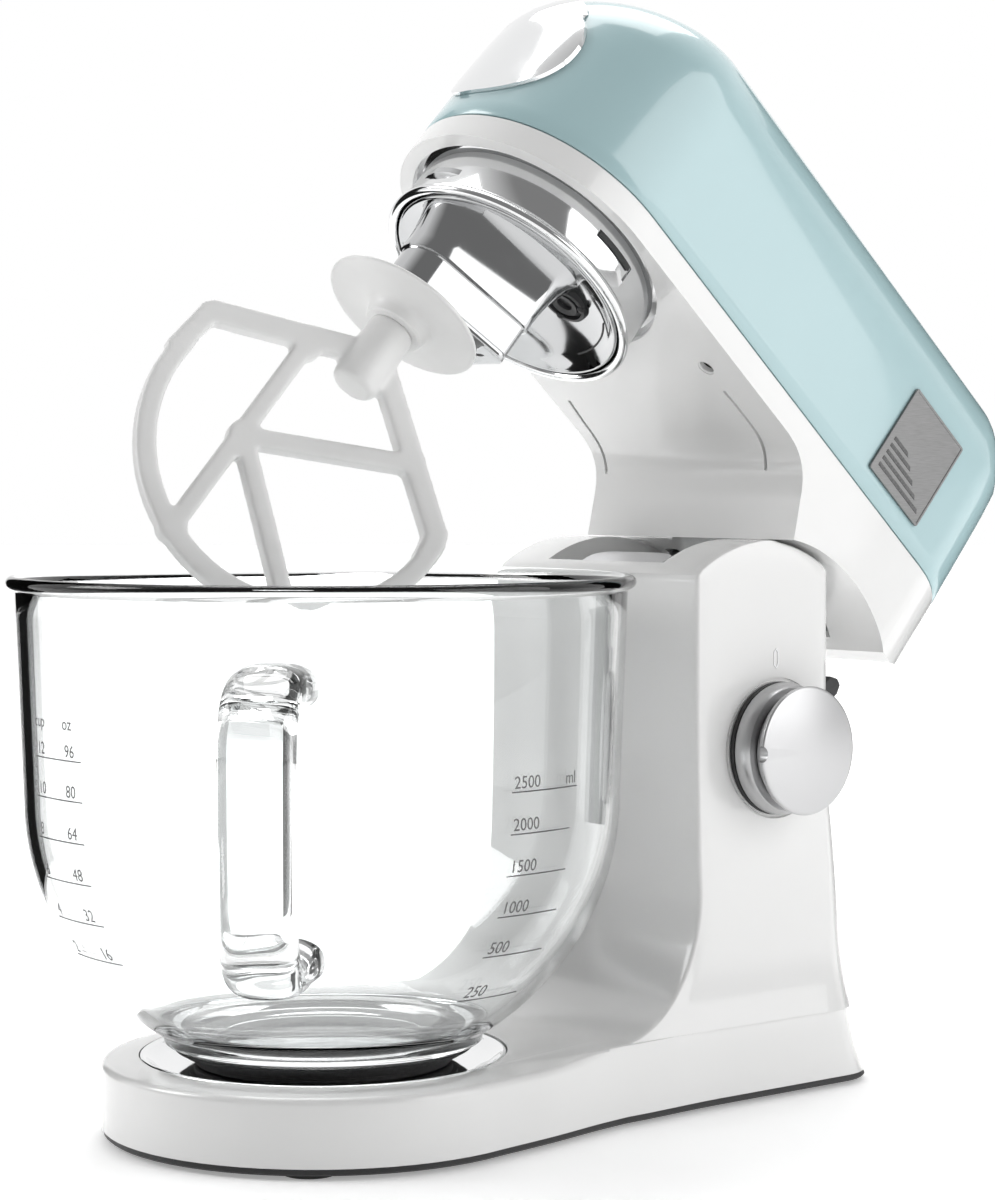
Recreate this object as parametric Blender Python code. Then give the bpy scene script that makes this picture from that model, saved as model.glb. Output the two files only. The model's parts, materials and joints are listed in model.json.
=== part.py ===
"""Tilt-head stand mixer with a glass bowl, modelled with its head raised.

Metres, +Z up. The origin is on the table under the bowl's axis, the nose points to -Y and
the speed knob is on the +X side. Everything on the head is drawn where it sits when the head
is closed, and hangs on one empty on the hinge axis that turns it back to the raised pose.
"""
from math import acos, asin, atan2, cos, degrees, hypot, pi, radians, sin, sqrt

import bmesh
import bpy
from mathutils import Matrix, Vector

GAP = 0.0003                      # running gap between touching pieces

# Head and hinge
TILT = radians(42.0)              # how far the head stands open
HINGE_Y, HINGE_Z = 0.172, 0.1507
TOP_RADIUS = 0.0663               # column's rounded top, about the hinge
ARCH_RADIUS = 0.0675              # arch in the head that clears it
HEAD_HALF_WIDTH = 0.0605
HEAD_BACK_Y = 0.2315
HEAD_CORNER = 0.032
UNDERSIDE_Z = 0.2370
SEAM_Z = 0.2483
HEAD_TOP_Z = 0.3380
COVER_WALL = 0.0028
HUB_RIM_Z = 0.2155
ORBIT = 0.029                     # tool axis to hub axis

# Stand
BASE_TOP_Z = 0.0300
BASE_WALL = 0.0032
COVER_BOTTOM_Z = 0.0015
STAND_BOTTOM_Z = 0.0042
COLUMN_FRONT_Y = 0.134
COLUMN_HALF_WIDTH = 0.0588
SLOT_HALF_WIDTH = 0.034
KNOB_Y, KNOB_Z = 0.1763, 0.136
KNOB_RADIUS = 0.025

# Bowl
RIM_RADIUS = 0.1150
RIM_Z = 0.2036
BOWL_WALL = 0.0040
BOWL_FLOOR_Z = 0.0385
HANDLE_TURN = radians(45.0)       # handle's direction, from the nose towards +X

# Drive train
RING_PITCH, PLANET_PITCH = 0.046, 0.017
RING_TEETH, PLANET_TEETH = 46, 17
MOTOR_Z = 0.2950
WORM_X, WORM_Z = -0.0310, 0.2745
BELT_Y = 0.0705
OUTLET_Z = 0.2945

for thing in list(bpy.data.objects):
    bpy.data.objects.remove(thing, do_unlink=True)


# ---------------------------------------------------------------- materials
def finish(name, colour, roughness, metallic=0.0):
    material = bpy.data.materials.new(name)
    material.use_nodes = True
    shader = material.node_tree.nodes["Principled BSDF"]
    shader.inputs["Base Color"].default_value = (*colour, 1.0)
    shader.inputs["Roughness"].default_value = roughness
    shader.inputs["Metallic"].default_value = metallic
    return material


WHITE = finish("gloss_white", (0.83, 0.83, 0.82), 0.25)
AQUA = finish("aqua_enamel", (0.50, 0.72, 0.76), 0.25)
CHROME = finish("chrome", (0.80, 0.80, 0.80), 0.08, 1.0)
SATIN = finish("satin_silver", (0.62, 0.62, 0.62), 0.35, 1.0)
BEATER = finish("coated_beater", (0.60, 0.60, 0.59), 0.45)
GLASS = finish("clear_glass", (0.90, 0.95, 0.95), 0.03)
RUBBER = finish("black_rubber", (0.02, 0.02, 0.02), 0.7)
BLACK = finish("black_plastic", (0.03, 0.03, 0.03), 0.5)
STEEL = finish("bright_steel", (0.60, 0.60, 0.62), 0.3, 1.0)
CAST = finish("cast_aluminium", (0.50, 0.51, 0.52), 0.5, 1.0)
BRONZE = finish("bronze", (0.55, 0.38, 0.18), 0.4, 1.0)
COPPER = finish("copper_windings", (0.60, 0.28, 0.14), 0.4, 1.0)
GREEN = finish("circuit_board", (0.04, 0.20, 0.09), 0.5)
GREASED = finish("acetal_gear", (0.85, 0.84, 0.78), 0.4)


# ---------------------------------------------------------------- placing
def empty(name, place, parent=None):
    pivot = bpy.data.objects.new(name, None)
    bpy.context.scene.collection.objects.link(pivot)
    pivot.location = place
    pivot.parent = parent
    return pivot


head_pivot = empty("head_pivot", (0, HINGE_Y, HINGE_Z))
head_pivot.rotation_euler = (-TILT, 0, 0)
hub_pivot = empty("hub_pivot", (0, -HINGE_Y, -HINGE_Z), head_pivot)
spindle_pivot = empty("spindle_pivot", (0, -ORBIT, 0), hub_pivot)
knob_pivot = empty("knob_pivot", (COLUMN_HALF_WIDTH, KNOB_Y, KNOB_Z))
motor_pivot = empty("motor_pivot", (0, -HINGE_Y, MOTOR_Z - HINGE_Z), head_pivot)
worm_pivot = empty("worm_pivot", (WORM_X, -HINGE_Y, WORM_Z - HINGE_Z), head_pivot)
outlet_pivot = empty("outlet_pivot", (0, -HINGE_Y, OUTLET_Z - HINGE_Z), head_pivot)

STAND = None
HEAD = (head_pivot, (0, HINGE_Y, HINGE_Z))
HUB = (hub_pivot, (0, 0, 0))
SPINDLE = (spindle_pivot, (0, -ORBIT, 0))
KNOB = (knob_pivot, (COLUMN_HALF_WIDTH, KNOB_Y, KNOB_Z))
MOTOR = (motor_pivot, (0, 0, MOTOR_Z))
WORM = (worm_pivot, (WORM_X, 0, WORM_Z))
OUTLET = (outlet_pivot, (0, 0, OUTLET_Z))


def make(name, bm, material=None, group=STAND, smooth=40):
    """Turn a bmesh, drawn in closed-head coordinates, into an object of a group."""
    bmesh.ops.remove_doubles(bm, verts=bm.verts, dist=1e-6)
    bmesh.ops.recalc_face_normals(bm, faces=bm.faces)
    if group:
        bmesh.ops.translate(bm, verts=bm.verts, vec=-Vector(group[1]))
    mesh = bpy.data.meshes.new(name)
    bm.to_mesh(mesh)
    bm.free()
    mesh.shade_smooth()
    mesh.set_sharp_from_angle(angle=radians(smooth))
    piece = bpy.data.objects.new(name, mesh)
    bpy.context.scene.collection.objects.link(piece)
    if material:
        mesh.materials.append(material)
    if group:
        piece.parent = group[0]
    return piece


def guide(piece):
    piece.hide_render = True
    piece.display_type = "WIRE"
    return piece


def boolean(piece, operation, *tools):
    for tool in tools:
        step = piece.modifiers.new(operation.lower(), "BOOLEAN")
        step.operation = operation
        step.object = guide(tool)
        step.solver = "EXACT"
    return piece


def cut(piece, *tools):
    return boolean(piece, "DIFFERENCE", *tools)


def fuse(piece, *tools):
    return boolean(piece, "UNION", *tools)


# ---------------------------------------------------------------- shapes
AXES = {"X": Matrix.Rotation(pi / 2, 4, "Y"), "Y": Matrix.Rotation(-pi / 2, 4, "X"),
        "Z": Matrix.Identity(4)}


def turned(profile, centre=(0, 0, 0), axis="Z", steps=32):
    """Spin a closed profile of (radius, height) points about an axis."""
    bm = bmesh.new()
    verts = [bm.verts.new((radius, 0, height)) for radius, height in profile]
    edges = [bm.edges.new((a, b)) for a, b in zip(verts, verts[1:] + verts[:1])
             if a.co.x > 1e-7 or b.co.x > 1e-7]
    bmesh.ops.spin(bm, geom=verts + edges, cent=(0, 0, 0), axis=(0, 0, 1),
                   angle=2 * pi, steps=steps, use_merge=True)
    bmesh.ops.remove_doubles(bm, verts=bm.verts, dist=1e-6)
    bmesh.ops.transform(bm, matrix=Matrix.Translation(centre) @ AXES[axis], verts=bm.verts)
    return bm


def rod(radius, low, high, centre=(0, 0, 0), axis="Z", steps=16):
    return turned([(0, low), (radius, low), (radius, high), (0, high)], centre, axis, steps)


def tube(inner, outer, low, high, centre=(0, 0, 0), axis="Z", steps=20):
    return turned([(inner, low), (outer, low), (outer, high), (inner, high)],
                  centre, axis, steps)


def prism(outline, low, high, axis="Z"):
    """Extrude a flat outline: (x, y) along Z, (y, z) along X, or (x, z) along Y."""
    place = {"Z": lambda a, b: (a, b, low), "X": lambda a, b: (low, a, b),
             "Y": lambda a, b: (a, low, b)}[axis]
    bm = bmesh.new()
    face = bm.faces.new([bm.verts.new(place(a, b)) for a, b in outline])
    top = bmesh.ops.extrude_face_region(bm, geom=[face])["geom"]
    lift = Vector(place(0, 0)) * 0
    lift["XYZ".index(axis)] = high - low
    bmesh.ops.translate(bm, vec=lift, verts=[v for v in top if isinstance(v, bmesh.types.BMVert)])
    return bm


def block(x, y, z):
    return prism([(x[0], y[0]), (x[1], y[0]), (x[1], y[1]), (x[0], y[1])], *z)


def arc(centre, radius, start, end, count):
    """Points on an arc, angles in degrees from the first axis to the second."""
    turns = [radians(start + (end - start) * i / (count - 1)) for i in range(count)]
    return [(centre[0] + radius * cos(t), centre[1] + radius * sin(t)) for t in turns]


def loft(rings):
    """Join level rings of equal length into a closed solid."""
    bm = bmesh.new()
    rows = [[bm.verts.new(point) for point in ring] for ring in rings]
    for low, high in zip(rows, rows[1:]):
        for i in range(len(low)):
            j = (i + 1) % len(low)
            bm.faces.new((low[i], low[j], high[j], high[i]))
    bm.faces.new(rows[0][::-1])
    bm.faces.new(rows[-1])
    return bm


def shell(outer, inner):
    """A lofted cup, open at its first ring: outer skin, inner skin and the rim between."""
    bm = bmesh.new()
    skins = [[[bm.verts.new(point) for point in ring] for ring in rings]
             for rings in (outer, inner)]
    for rows in skins:
        for low, high in zip(rows, rows[1:]):
            for i in range(len(low)):
                j = (i + 1) % len(low)
                bm.faces.new((low[i], low[j], high[j], high[i]))
        bm.faces.new(rows[-1])
    rim_out, rim_in = skins[0][0], skins[1][0]
    for i in range(len(rim_out)):
        j = (i + 1) % len(rim_out)
        bm.faces.new((rim_out[i], rim_in[i], rim_in[j], rim_out[j]))
    return bm


def gear_outline(teeth, root, tip, root_share, tip_share):
    """A gear's edge with straight-sided teeth, one of them towards the nose."""
    pitch = 2 * pi / teeth
    points = []
    for tooth in range(teeth):
        for radius, offset in ((root, -root_share), (tip, -tip_share),
                               (tip, tip_share), (root, root_share)):
            turn = tooth * pitch + offset * pitch / 2 - pi / 2
            points.append((radius * cos(turn), radius * sin(turn)))
    return points


# ---------------------------------------------------------------- stand
def base_outline(inset=0.0):
    """Foot plan: a round lobe under the bowl that narrows to the column and a round back."""
    lobe = arc((0, 0.001), 0.0825 - inset, -90, 12, 9)
    side = [(0.0765 - inset, 0.047), (0.0718 - inset, 0.072), (0.0682 - inset, 0.100),
            (0.0670 - inset, 0.135), (0.0670 - inset, 0.170)]
    corner = arc((0.0370, 0.2065), 0.0300 - inset, 0, 90, 6)
    return lobe + side + corner


def mirror_ring(half, z):
    """Close a half outline that runs from the front centre to the back, on both sides."""
    right = [(x, y, z) for x, y in half]
    left = [(-x, y, z) for x, y in half[::-1] if x > 1e-6]
    return right + left


def column_back(z):
    lower = 0.2365 - 0.0270 * min(1.0, z / 0.120) ** 0.55
    if z < HINGE_Z:
        return lower
    return min(lower, HINGE_Y + sqrt(TOP_RADIUS ** 2 - (z - HINGE_Z) ** 2))


def column_front(z):
    if z < 0.0850:
        t = (0.0850 - z) / (0.0850 - BASE_TOP_Z)
        return COLUMN_FRONT_Y - 0.0500 * (1 - sqrt(max(0.0, 1 - t ** 2)))
    if z < HINGE_Z:
        return COLUMN_FRONT_Y
    return max(COLUMN_FRONT_Y, HINGE_Y - sqrt(TOP_RADIUS ** 2 - (z - HINGE_Z) ** 2))


def column_half(z):
    return COLUMN_HALF_WIDTH + 0.0082 * max(0.0, 1 - z / 0.190) ** 2.4


def column_outline(z, inset=0.0):
    """Column plan at a height, with as many points as the foot's outline."""
    front, back, half = column_front(z) + inset, column_back(z) - inset, column_half(z) - inset
    face = [(half * i / 8, front) for i in range(9)]
    corner_radius = min(0.022, 0.45 * (back - front), 0.45 * half)
    straight = back - corner_radius
    side = [(half, front + (straight - front) * i / 6) for i in range(1, 6)]
    corner = arc((half - corner_radius, straight), corner_radius, 0, 90, 7)[1:]
    return face + side + corner


def stand_rings(inset, levels_base, levels_column):
    rings = [mirror_ring(base_outline(inset + drop), z) for z, drop in levels_base]
    rings += [mirror_ring(column_outline(z, inset), z) for z in levels_column]
    return rings


COLUMN_LEVELS = [0.0304, 0.0335, 0.0390, 0.0470, 0.0620, 0.0850, 0.1300, 0.1800, 0.2045,
                 0.2100, 0.2140, 0.2162]
stand = make("stand_housing", loft(stand_rings(
    0.0, [(STAND_BOTTOM_Z, 0.0), (0.0240, 0.0008), (0.0278, 0.0018), (0.0294, 0.0038),
          (BASE_TOP_Z, 0.0062)], COLUMN_LEVELS)), WHITE)

cavity = make("cavity", loft(stand_rings(
    BASE_WALL, [(STAND_BOTTOM_Z - 0.002, 0.0), (0.0210, 0.0)],
    [0.0225, 0.0320, 0.0400, 0.0500, 0.0640, 0.0850, 0.1160])))
pocket_outline = ([(0.1390, 0.1100), (0.1905, 0.1100)]
                  + arc((HINGE_Y, HINGE_Z), TOP_RADIUS - BASE_WALL, 73, 121, 7))
pockets = [make(f"pocket_{side}", prism(pocket_outline, *span, axis="X"))
           for side, span in (("right", (0.0376, 0.0556)), ("left", (-0.0556, -0.0376)))]
slot_outline = [(0.1395, 0.2600), (0.1395, 0.1280), (0.2045, 0.1280), (0.2045, 0.1600),
                (0.2600, 0.1600), (0.2600, 0.2600)]
slot = make("slot", prism(slot_outline, -SLOT_HALF_WIDTH, SLOT_HALF_WIDTH, axis="X"))
seat_recess = make("seat_recess", rod(0.0680, 0.0252, 0.0400, steps=40))
pin_bore = make("pin_bore", rod(0.0043, -0.050, 0.050, (0, HINGE_Y, HINGE_Z), "X"))
knob_bore = make("knob_bore", rod(0.0046, 0.050, 0.070, (0, KNOB_Y, KNOB_Z), "X"))
lever_window = make("lever_window", block((0.0390, 0.0510), (0.185, 0.225), (0.1465, 0.1605)))
cord_window = make("cord_window", rod(0.0070, 0.200, 0.240, (0, 0, 0.0250), "Y"))
cut(stand, cavity, *pockets, slot, seat_recess, pin_bore, knob_bore, lever_window, cord_window)

bottom = make("bottom_cover", loft([mirror_ring(base_outline(0.0006), z)
                                    for z in (COVER_BOTTOM_Z, STAND_BOTTOM_Z - GAP)]), BLACK)
FOOT_PLACES = {"front_left": (-0.052, -0.045), "front_right": (0.052, -0.045),
               "rear_left": (-0.046, 0.205), "rear_right": (0.046, 0.205)}
FOOT_RADIUS = 0.0100
for where, (x, y) in FOOT_PLACES.items():
    make(f"foot_{where}", turned([(0, 0), (FOOT_RADIUS - 0.001, 0), (FOOT_RADIUS, 0.0008),
                                  (FOOT_RADIUS, 0.0028), (0, 0.0028)], (x, y, 0), steps=16),
         RUBBER)
    cut(bottom, make(f"foot_pocket_{where}",
                     rod(FOOT_RADIUS + GAP, 0, 0.0028 + GAP, (x, y, 0), steps=16)))

make("bowl_seat", turned([(0, 0.0255), (0.0677, 0.0255), (0.0677, 0.0298), (0.0660, 0.0302),
                          (0.0640, 0.0296), (0.0600, 0.0267), (0, 0.0264)], steps=40), CHROME)

make("hinge_pin", rod(0.0040, -0.0465, 0.0465, (0, HINGE_Y, HINGE_Z), "X"), STEEL)
for where, low in (("left", -0.0452), ("right", 0.0379)):
    make(f"hinge_bush_{where}", tube(0.0043, 0.0080, low, low + 0.0073,
                                     (0, HINGE_Y, HINGE_Z), "X", 24), BRONZE)

COVER_START, COVER_END = 106.0, 120.2
slot_cover = (arc((HINGE_Y, HINGE_Z), 0.0630, COVER_START, COVER_END, 7)
              + [(0.1403, 0.1900), (0.1500, 0.1900)])
make("slot_cover", prism(slot_cover, -SLOT_HALF_WIDTH + GAP, SLOT_HALF_WIDTH - GAP, axis="X"),
     SATIN)

make("control_board", block((-0.0300, 0.0300), (0.1460, 0.1476), (0.0350, 0.0900)), GREEN)
make("board_capacitor", rod(0.0100, 0.0000, 0.0250, (0, 0.1478, 0.060), "Y"), BLACK)
make("speed_control", rod(0.0085, 0.0470, 0.0540, (0, KNOB_Y, KNOB_Z), "X"), BLACK)

make("cord_inlet", turned([(0, 0.2260), (0.0067, 0.2260), (0.0067, 0.2368), (0.0085, 0.2375),
                           (0.0085, 0.2400), (0.0035, 0.2400), (0.0035, 0.2290), (0, 0.2290)],
                          (0, 0, 0.0250), "Y", 24), BLACK)

# ---------------------------------------------------------------- speed knob
make("knob_shaft", rod(0.0040, 0.0545, 0.0605, (0, KNOB_Y, KNOB_Z), "X"), STEEL, KNOB)
make("knob_dial", turned([(0, 0.0608), (0.0245, 0.0608), (0.0262, 0.0618), (0.0246, 0.0690),
                          (0, 0.0690)], (0, KNOB_Y, KNOB_Z), "X", 36), SATIN, KNOB)
knob = make("speed_knob", turned([(0, 0.0693), (0.0222, 0.0693), (0.0222, 0.0735),
                                  (KNOB_RADIUS - 0.0005, 0.0750), (KNOB_RADIUS, 0.0758),
                                  (0.0243, 0.0770), (0, 0.0773)],
                                 (0, KNOB_Y, KNOB_Z), "X", 36), SATIN, KNOB)
THUMB = 0.0045
cut(knob, make("thumb_notch", rod(THUMB, 0.0680, 0.0790,
                                  (0, KNOB_Y - KNOB_RADIUS - 0.0015, KNOB_Z), "X"), None, KNOB))

# ---------------------------------------------------------------- head release lever
lever_outline = [(0.1945, 0.1500), (0.2150, 0.1500), (0.2185, 0.1480), (0.2215, 0.1500),
                 (0.2200, 0.1575), (0.2150, 0.1570), (0.1945, 0.1570)]
make("release_lever", prism(lever_outline, 0.0400, 0.0500, axis="X"), BLACK)


def coil(radius, wire, low, high, turns, steps=14, sides=6):
    """A compression spring's wire, standing on the Z axis."""
    bm = bmesh.new()
    rings = []
    count = turns * steps
    for i in range(count + 1):
        turn = 2 * pi * i / steps
        height = low + (high - low) * i / count
        ring = []
        for k in range(sides):
            tilt = 2 * pi * k / sides
            out = radius + wire * cos(tilt)
            ring.append(bm.verts.new((out * cos(turn), out * sin(turn),
                                      height + wire * sin(tilt))))
        rings.append(ring)
    for a, b in zip(rings, rings[1:]):
        for k in range(sides):
            m = (k + 1) % sides
            bm.faces.new((a[k], a[m], b[m], b[k]))
    bm.faces.new(rings[0])
    bm.faces.new(rings[-1])
    return bm


spring = coil(0.0026, 0.0004, 0.0, 0.0100, 4, 10, 4)
bmesh.ops.transform(spring, matrix=Matrix.Translation((0.0450, 0.1800, 0.1535)) @ AXES["Y"],
                    verts=spring.verts)
make("lever_spring", spring, STEEL)

# ---------------------------------------------------------------- bowl
WALL_TOP, WALL_BEND = (0.1120, 0.1985), (0.1093, 0.1250)
CURVE_DROP = 0.1036


def bowl_curve(inset, lowest, count):
    """The bowl's rounded lower wall as (radius, height), from its bottom to the bend."""
    wide, deep = WALL_BEND[0] - inset, CURVE_DROP - inset
    last = asin(min(1.0, (WALL_BEND[1] - lowest) / deep))
    turns = [last * (1 - i / (count - 1)) for i in range(count)]
    return [(wide * cos(t), WALL_BEND[1] - deep * sin(t)) for t in turns]


outer_wall = bowl_curve(0.0, 0.0385, 8)
inner_wall = bowl_curve(BOWL_WALL, 0.0440, 8)[::-1]
lip = [(x, z) for x, z in arc((RIM_RADIUS - 0.0022, RIM_Z), 0.0026, -70, 160, 5)]
bowl_profile = ([(0, 0.0338), (0.0565, 0.0338)] + outer_wall + [WALL_TOP] + lip
                + [(WALL_TOP[0] - BOWL_WALL, 0.1985)] + inner_wall
                + [(0.0500, 0.0395), (0.0380, BOWL_FLOOR_Z), (0, BOWL_FLOOR_Z)])
bowl_mesh = turned(bowl_profile, steps=40)
SPOUT_TURN = HANDLE_TURN + pi
SPOUT_WIDTH, SPOUT_REACH, SPOUT_LOW = radians(17), 0.0055, 0.1750
for vert in bowl_mesh.verts:
    out = Vector((vert.co.x, vert.co.y, 0))
    if out.length < 0.09 or vert.co.z < SPOUT_LOW:
        continue
    away = atan2(vert.co.x, -vert.co.y) - SPOUT_TURN
    away = abs((away + pi) % (2 * pi) - pi)
    if away < SPOUT_WIDTH:
        push = SPOUT_REACH * cos(away / SPOUT_WIDTH * pi / 2) ** 2
        push *= (vert.co.z - SPOUT_LOW) / (RIM_Z - SPOUT_LOW)
        vert.co += out.normalized() * push
make("glass_bowl", bowl_mesh, GLASS)


def path_tube(points, half_wide, half_thick, sides=12):
    """Sweep an oval along points of (reach, height) in the handle's plane."""
    rings = []
    for i, (reach, height) in enumerate(points):
        before, after = points[max(i - 1, 0)], points[min(i + 1, len(points) - 1)]
        along = Vector((after[0] - before[0], after[1] - before[1])).normalized()
        normal = Vector((-along.y, along.x))
        ring = []
        for k in range(sides):
            turn = 2 * pi * k / sides
            side, lift = half_wide * cos(turn), half_thick * sin(turn)
            ring.append((side, -(reach + normal.x * lift), height + normal.y * lift))
        rings.append(ring)
    return loft(rings)


handle_path = ([(0.1185, 0.1720), (0.1270, 0.1730)]
               + arc((0.1330, 0.1570), 0.0160, 80, 0, 5)
               + [(0.1485, 0.1300), (0.1475, 0.1050)]
               + arc((0.1330, 0.0930), 0.0140, 0, -100, 7)
               + [(0.1180, 0.0785), (0.1082, 0.0775)])
handle_mesh = path_tube(handle_path, 0.0130, 0.0075)
bmesh.ops.rotate(handle_mesh, matrix=Matrix.Rotation(HANDLE_TURN, 3, "Z"),
                 verts=handle_mesh.verts)
handle = make("bowl_handle", handle_mesh, GLASS)
clearance = turned([(0, 0.03)] + bowl_curve(-GAP, 0.03, 14)
                   + [(WALL_TOP[0] + GAP, 0.1990), (0, 0.1990)], steps=40)
cut(handle, make("bowl_clearance", clearance))

make("bowl_foot", turned([(0.0420, 0.0268), (0.0475, 0.0268), (0.0490, 0.0290),
                          (0.0555, 0.0335), (0.0420, 0.0335)], steps=40), RUBBER)


# ---------------------------------------------------------------- head casing
def head_outline(inset, nose=0.0, back=0.0, corner=HEAD_CORNER):
    """Head plan: a round nose about the hub axis, straight sides and a rounded back."""
    half = HEAD_HALF_WIDTH - inset
    tip = arc((0, 0.0), half, -90, 0, 10)
    tip = [(x, y * (half - nose) / half) for x, y in tip]
    end = HEAD_BACK_Y - inset - back
    round_off = corner - inset if corner - inset > 0.006 else 0.006
    bend = arc((half - round_off, end - round_off), round_off, 0, 90, 6)
    side = [(half, (end - round_off) / 2)]
    return tip + side + bend + [(0, end)]


def head_ring(z, inset, nose=0.0, back=0.0):
    return mirror_ring(head_outline(inset, nose, back), z)


TOP_ROUND = 0.036


def nose_lean(z):
    """How far the nose of the casing leans back at a height."""
    return 0.0060 * max(0.0, (z - 0.255) / 0.083) ** 1.5


def cover_rings(wall):
    """Levels of the top cover, rounding in towards the top, more so at the nose."""
    rings = []
    for z in (SEAM_Z + GAP, 0.2750, 0.2950):
        lean = nose_lean(z)
        rings.append(head_ring(z, wall, lean, lean * 0.4))
    for step in range(1, 7):
        turn = pi / 2 * step / 6.3
        z = HEAD_TOP_Z - TOP_ROUND + (TOP_ROUND - wall) * sin(turn)
        inset = wall + (TOP_ROUND - wall) * (1 - cos(turn)) * 0.86
        lean = nose_lean(z) + 0.008 * (1 - cos(turn))
        rings.append(head_ring(z, inset, lean, 0.0024 + lean * 0.3))
    return rings


cover = make("head_cover", shell(cover_rings(0.0), cover_rings(COVER_WALL)), AQUA, HEAD)
cut(cover, make("outlet_window", rod(0.0115, -0.070, -0.040, (0, 0, OUTLET_Z), "Y", 24),
                None, HEAD))

neck = [(0.1080, UNDERSIDE_Z), (0.1150, 0.2358), (0.1215, 0.2320), (0.1262, 0.2265),
        (0.1300, 0.2200), (0.1340, 0.2130)]
arch = arc((HINGE_Y, HINGE_Z), ARCH_RADIUS, 121.6, 59.5, 15)
tail = [(0.2140, 0.2100), (0.2215, 0.2150), (0.2270, 0.2230), (HEAD_BACK_Y + 0.002, 0.2330),
        (HEAD_BACK_Y + 0.002, SEAM_Z), (-0.0700, SEAM_Z), (-0.0700, UNDERSIDE_Z)]
lower = make("head_underbody", prism(neck + arch + tail, -0.0700, 0.0700, axis="X"), WHITE,
             HEAD)
plan_block = make("head_plan", loft([head_ring(z, 0.0) for z in (0.200, 0.250)]), None, HEAD)
boolean(lower, "INTERSECT", plan_block)
inner_neck = [(0.1060, UNDERSIDE_Z + COVER_WALL), (0.1190, 0.2385), (0.1265, 0.2330),
              (0.1320, 0.2260)]
inner_arch = arc((HINGE_Y, HINGE_Z), ARCH_RADIUS + COVER_WALL, 117.0, 62.0, 13)
inner_tail = [(0.2120, 0.2145), (0.2200, 0.2190), (0.2262, 0.2290), (0.2290, 0.2600),
              (-0.0700, 0.2600), (-0.0700, UNDERSIDE_Z + COVER_WALL)]
hollow = make("underbody_hollow", prism(inner_neck + inner_arch + inner_tail,
                                        -0.0576, 0.0576, axis="X"), None, HEAD)
boolean(hollow, "INTERSECT", make("hollow_plan", loft(
    [head_ring(z, COVER_WALL) for z in (0.190, 0.270)]), None, HEAD))
hub_opening = make("hub_opening", rod(0.0545, 0.2200, 0.2600, steps=40), None, HEAD)
arm_opening = make("arm_opening", block((-0.0330, 0.0330), (0.1440, 0.2040), (0.2050, 0.2350)),
                   None, HEAD)
cut(lower, hollow, hub_opening, arm_opening)

badge = block((HEAD_HALF_WIDTH + GAP, HEAD_HALF_WIDTH + 0.0013), (0.1480, 0.1870),
              (0.2600, 0.3000))
make("badge_plate", badge, SATIN, HEAD)


def nose_rings(inset, top):
    """The head's plan at the heights of the nose cover, a given distance off the casing."""
    return [head_ring(z, inset, nose_lean(z)) for z in (0.2500, 0.2700, 0.2850, 0.2980, top)]


# Nose cover over the attachment outlet: a shield-shaped plate that follows the nose
SHIELD = [(0.000, 0.2600), (0.007, 0.2602), (0.020, 0.2645), (0.0285, 0.2750),
          (0.0308, 0.2860), (0.0290, 0.2960), (0.0235, 0.3040), (0.0170, 0.3100), (0, 0.3125)]
shield = SHIELD + [(-x, z) for x, z in SHIELD[-2:0:-1]]
nose_cover = make("nose_cover", prism(shield, -0.0750, -0.0300, axis="Y"), CHROME, HEAD)
boolean(nose_cover, "INTERSECT", make("nose_band", shell(
    nose_rings(-0.0018, 0.3300), nose_rings(-GAP, 0.3298)), None, HEAD))

# ---------------------------------------------------------------- hub and tool drive
make("hub_ring", turned([(0.0497, HUB_RIM_Z + 0.0010), (0.0512, HUB_RIM_Z),
                         (0.0528, HUB_RIM_Z + 0.0006), (0.0534, HUB_RIM_Z + 0.0020),
                         (0.0528, HUB_RIM_Z + 0.0036), (0.0516, HUB_RIM_Z + 0.0044),
                         (0.0516, 0.2392), (0.0560, 0.2402), (0.0560, 0.2420),
                         (0.0497, 0.2420)], steps=40), CHROME, HEAD)
ring_gear = make("ring_gear", rod(0.0555, 0.2424, 0.2480, steps=40), GREASED, HEAD)
ring_teeth = prism(gear_outline(RING_TEETH, RING_PITCH - 0.0014, RING_PITCH + 0.0020,
                                0.66, 0.40), 0.2400, 0.2500)
cut(ring_gear, make("ring_bore", ring_teeth, None, HEAD))

carrier = make("planet_carrier", turned([
    (0, 0.2262), (0.0200, 0.2255), (0.0360, 0.2225), (0.0450, 0.2185), (0.0480, 0.2165),
    (0.0492, 0.2172), (0.0492, 0.2200), (0.0420, 0.2240), (0.0330, 0.2275), (0.0200, 0.2300),
    (0, 0.2305)], steps=40), CHROME, HUB)
BOSS_HALF, BOSS_FRONT, BOSS_REAR = 0.0150, -0.0300, -0.0080
boss_outline = (arc((0, BOSS_FRONT), BOSS_HALF, 180, 360, 13)
                + arc((0, BOSS_REAR), BOSS_HALF, 0, 180, 13))
boss = make("tool_boss", prism(boss_outline, 0.1790, 0.2280), None, HUB)
shaft_bore = make("spindle_bore", rod(0.0070, 0.1700, 0.2400, (0, -ORBIT, 0)), None, HUB)
axle = make("carrier_axle", rod(0.0080, 0.2290, 0.2560), None, HUB)
fuse(carrier, boss, axle)
cut(carrier, shaft_bore)

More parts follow.
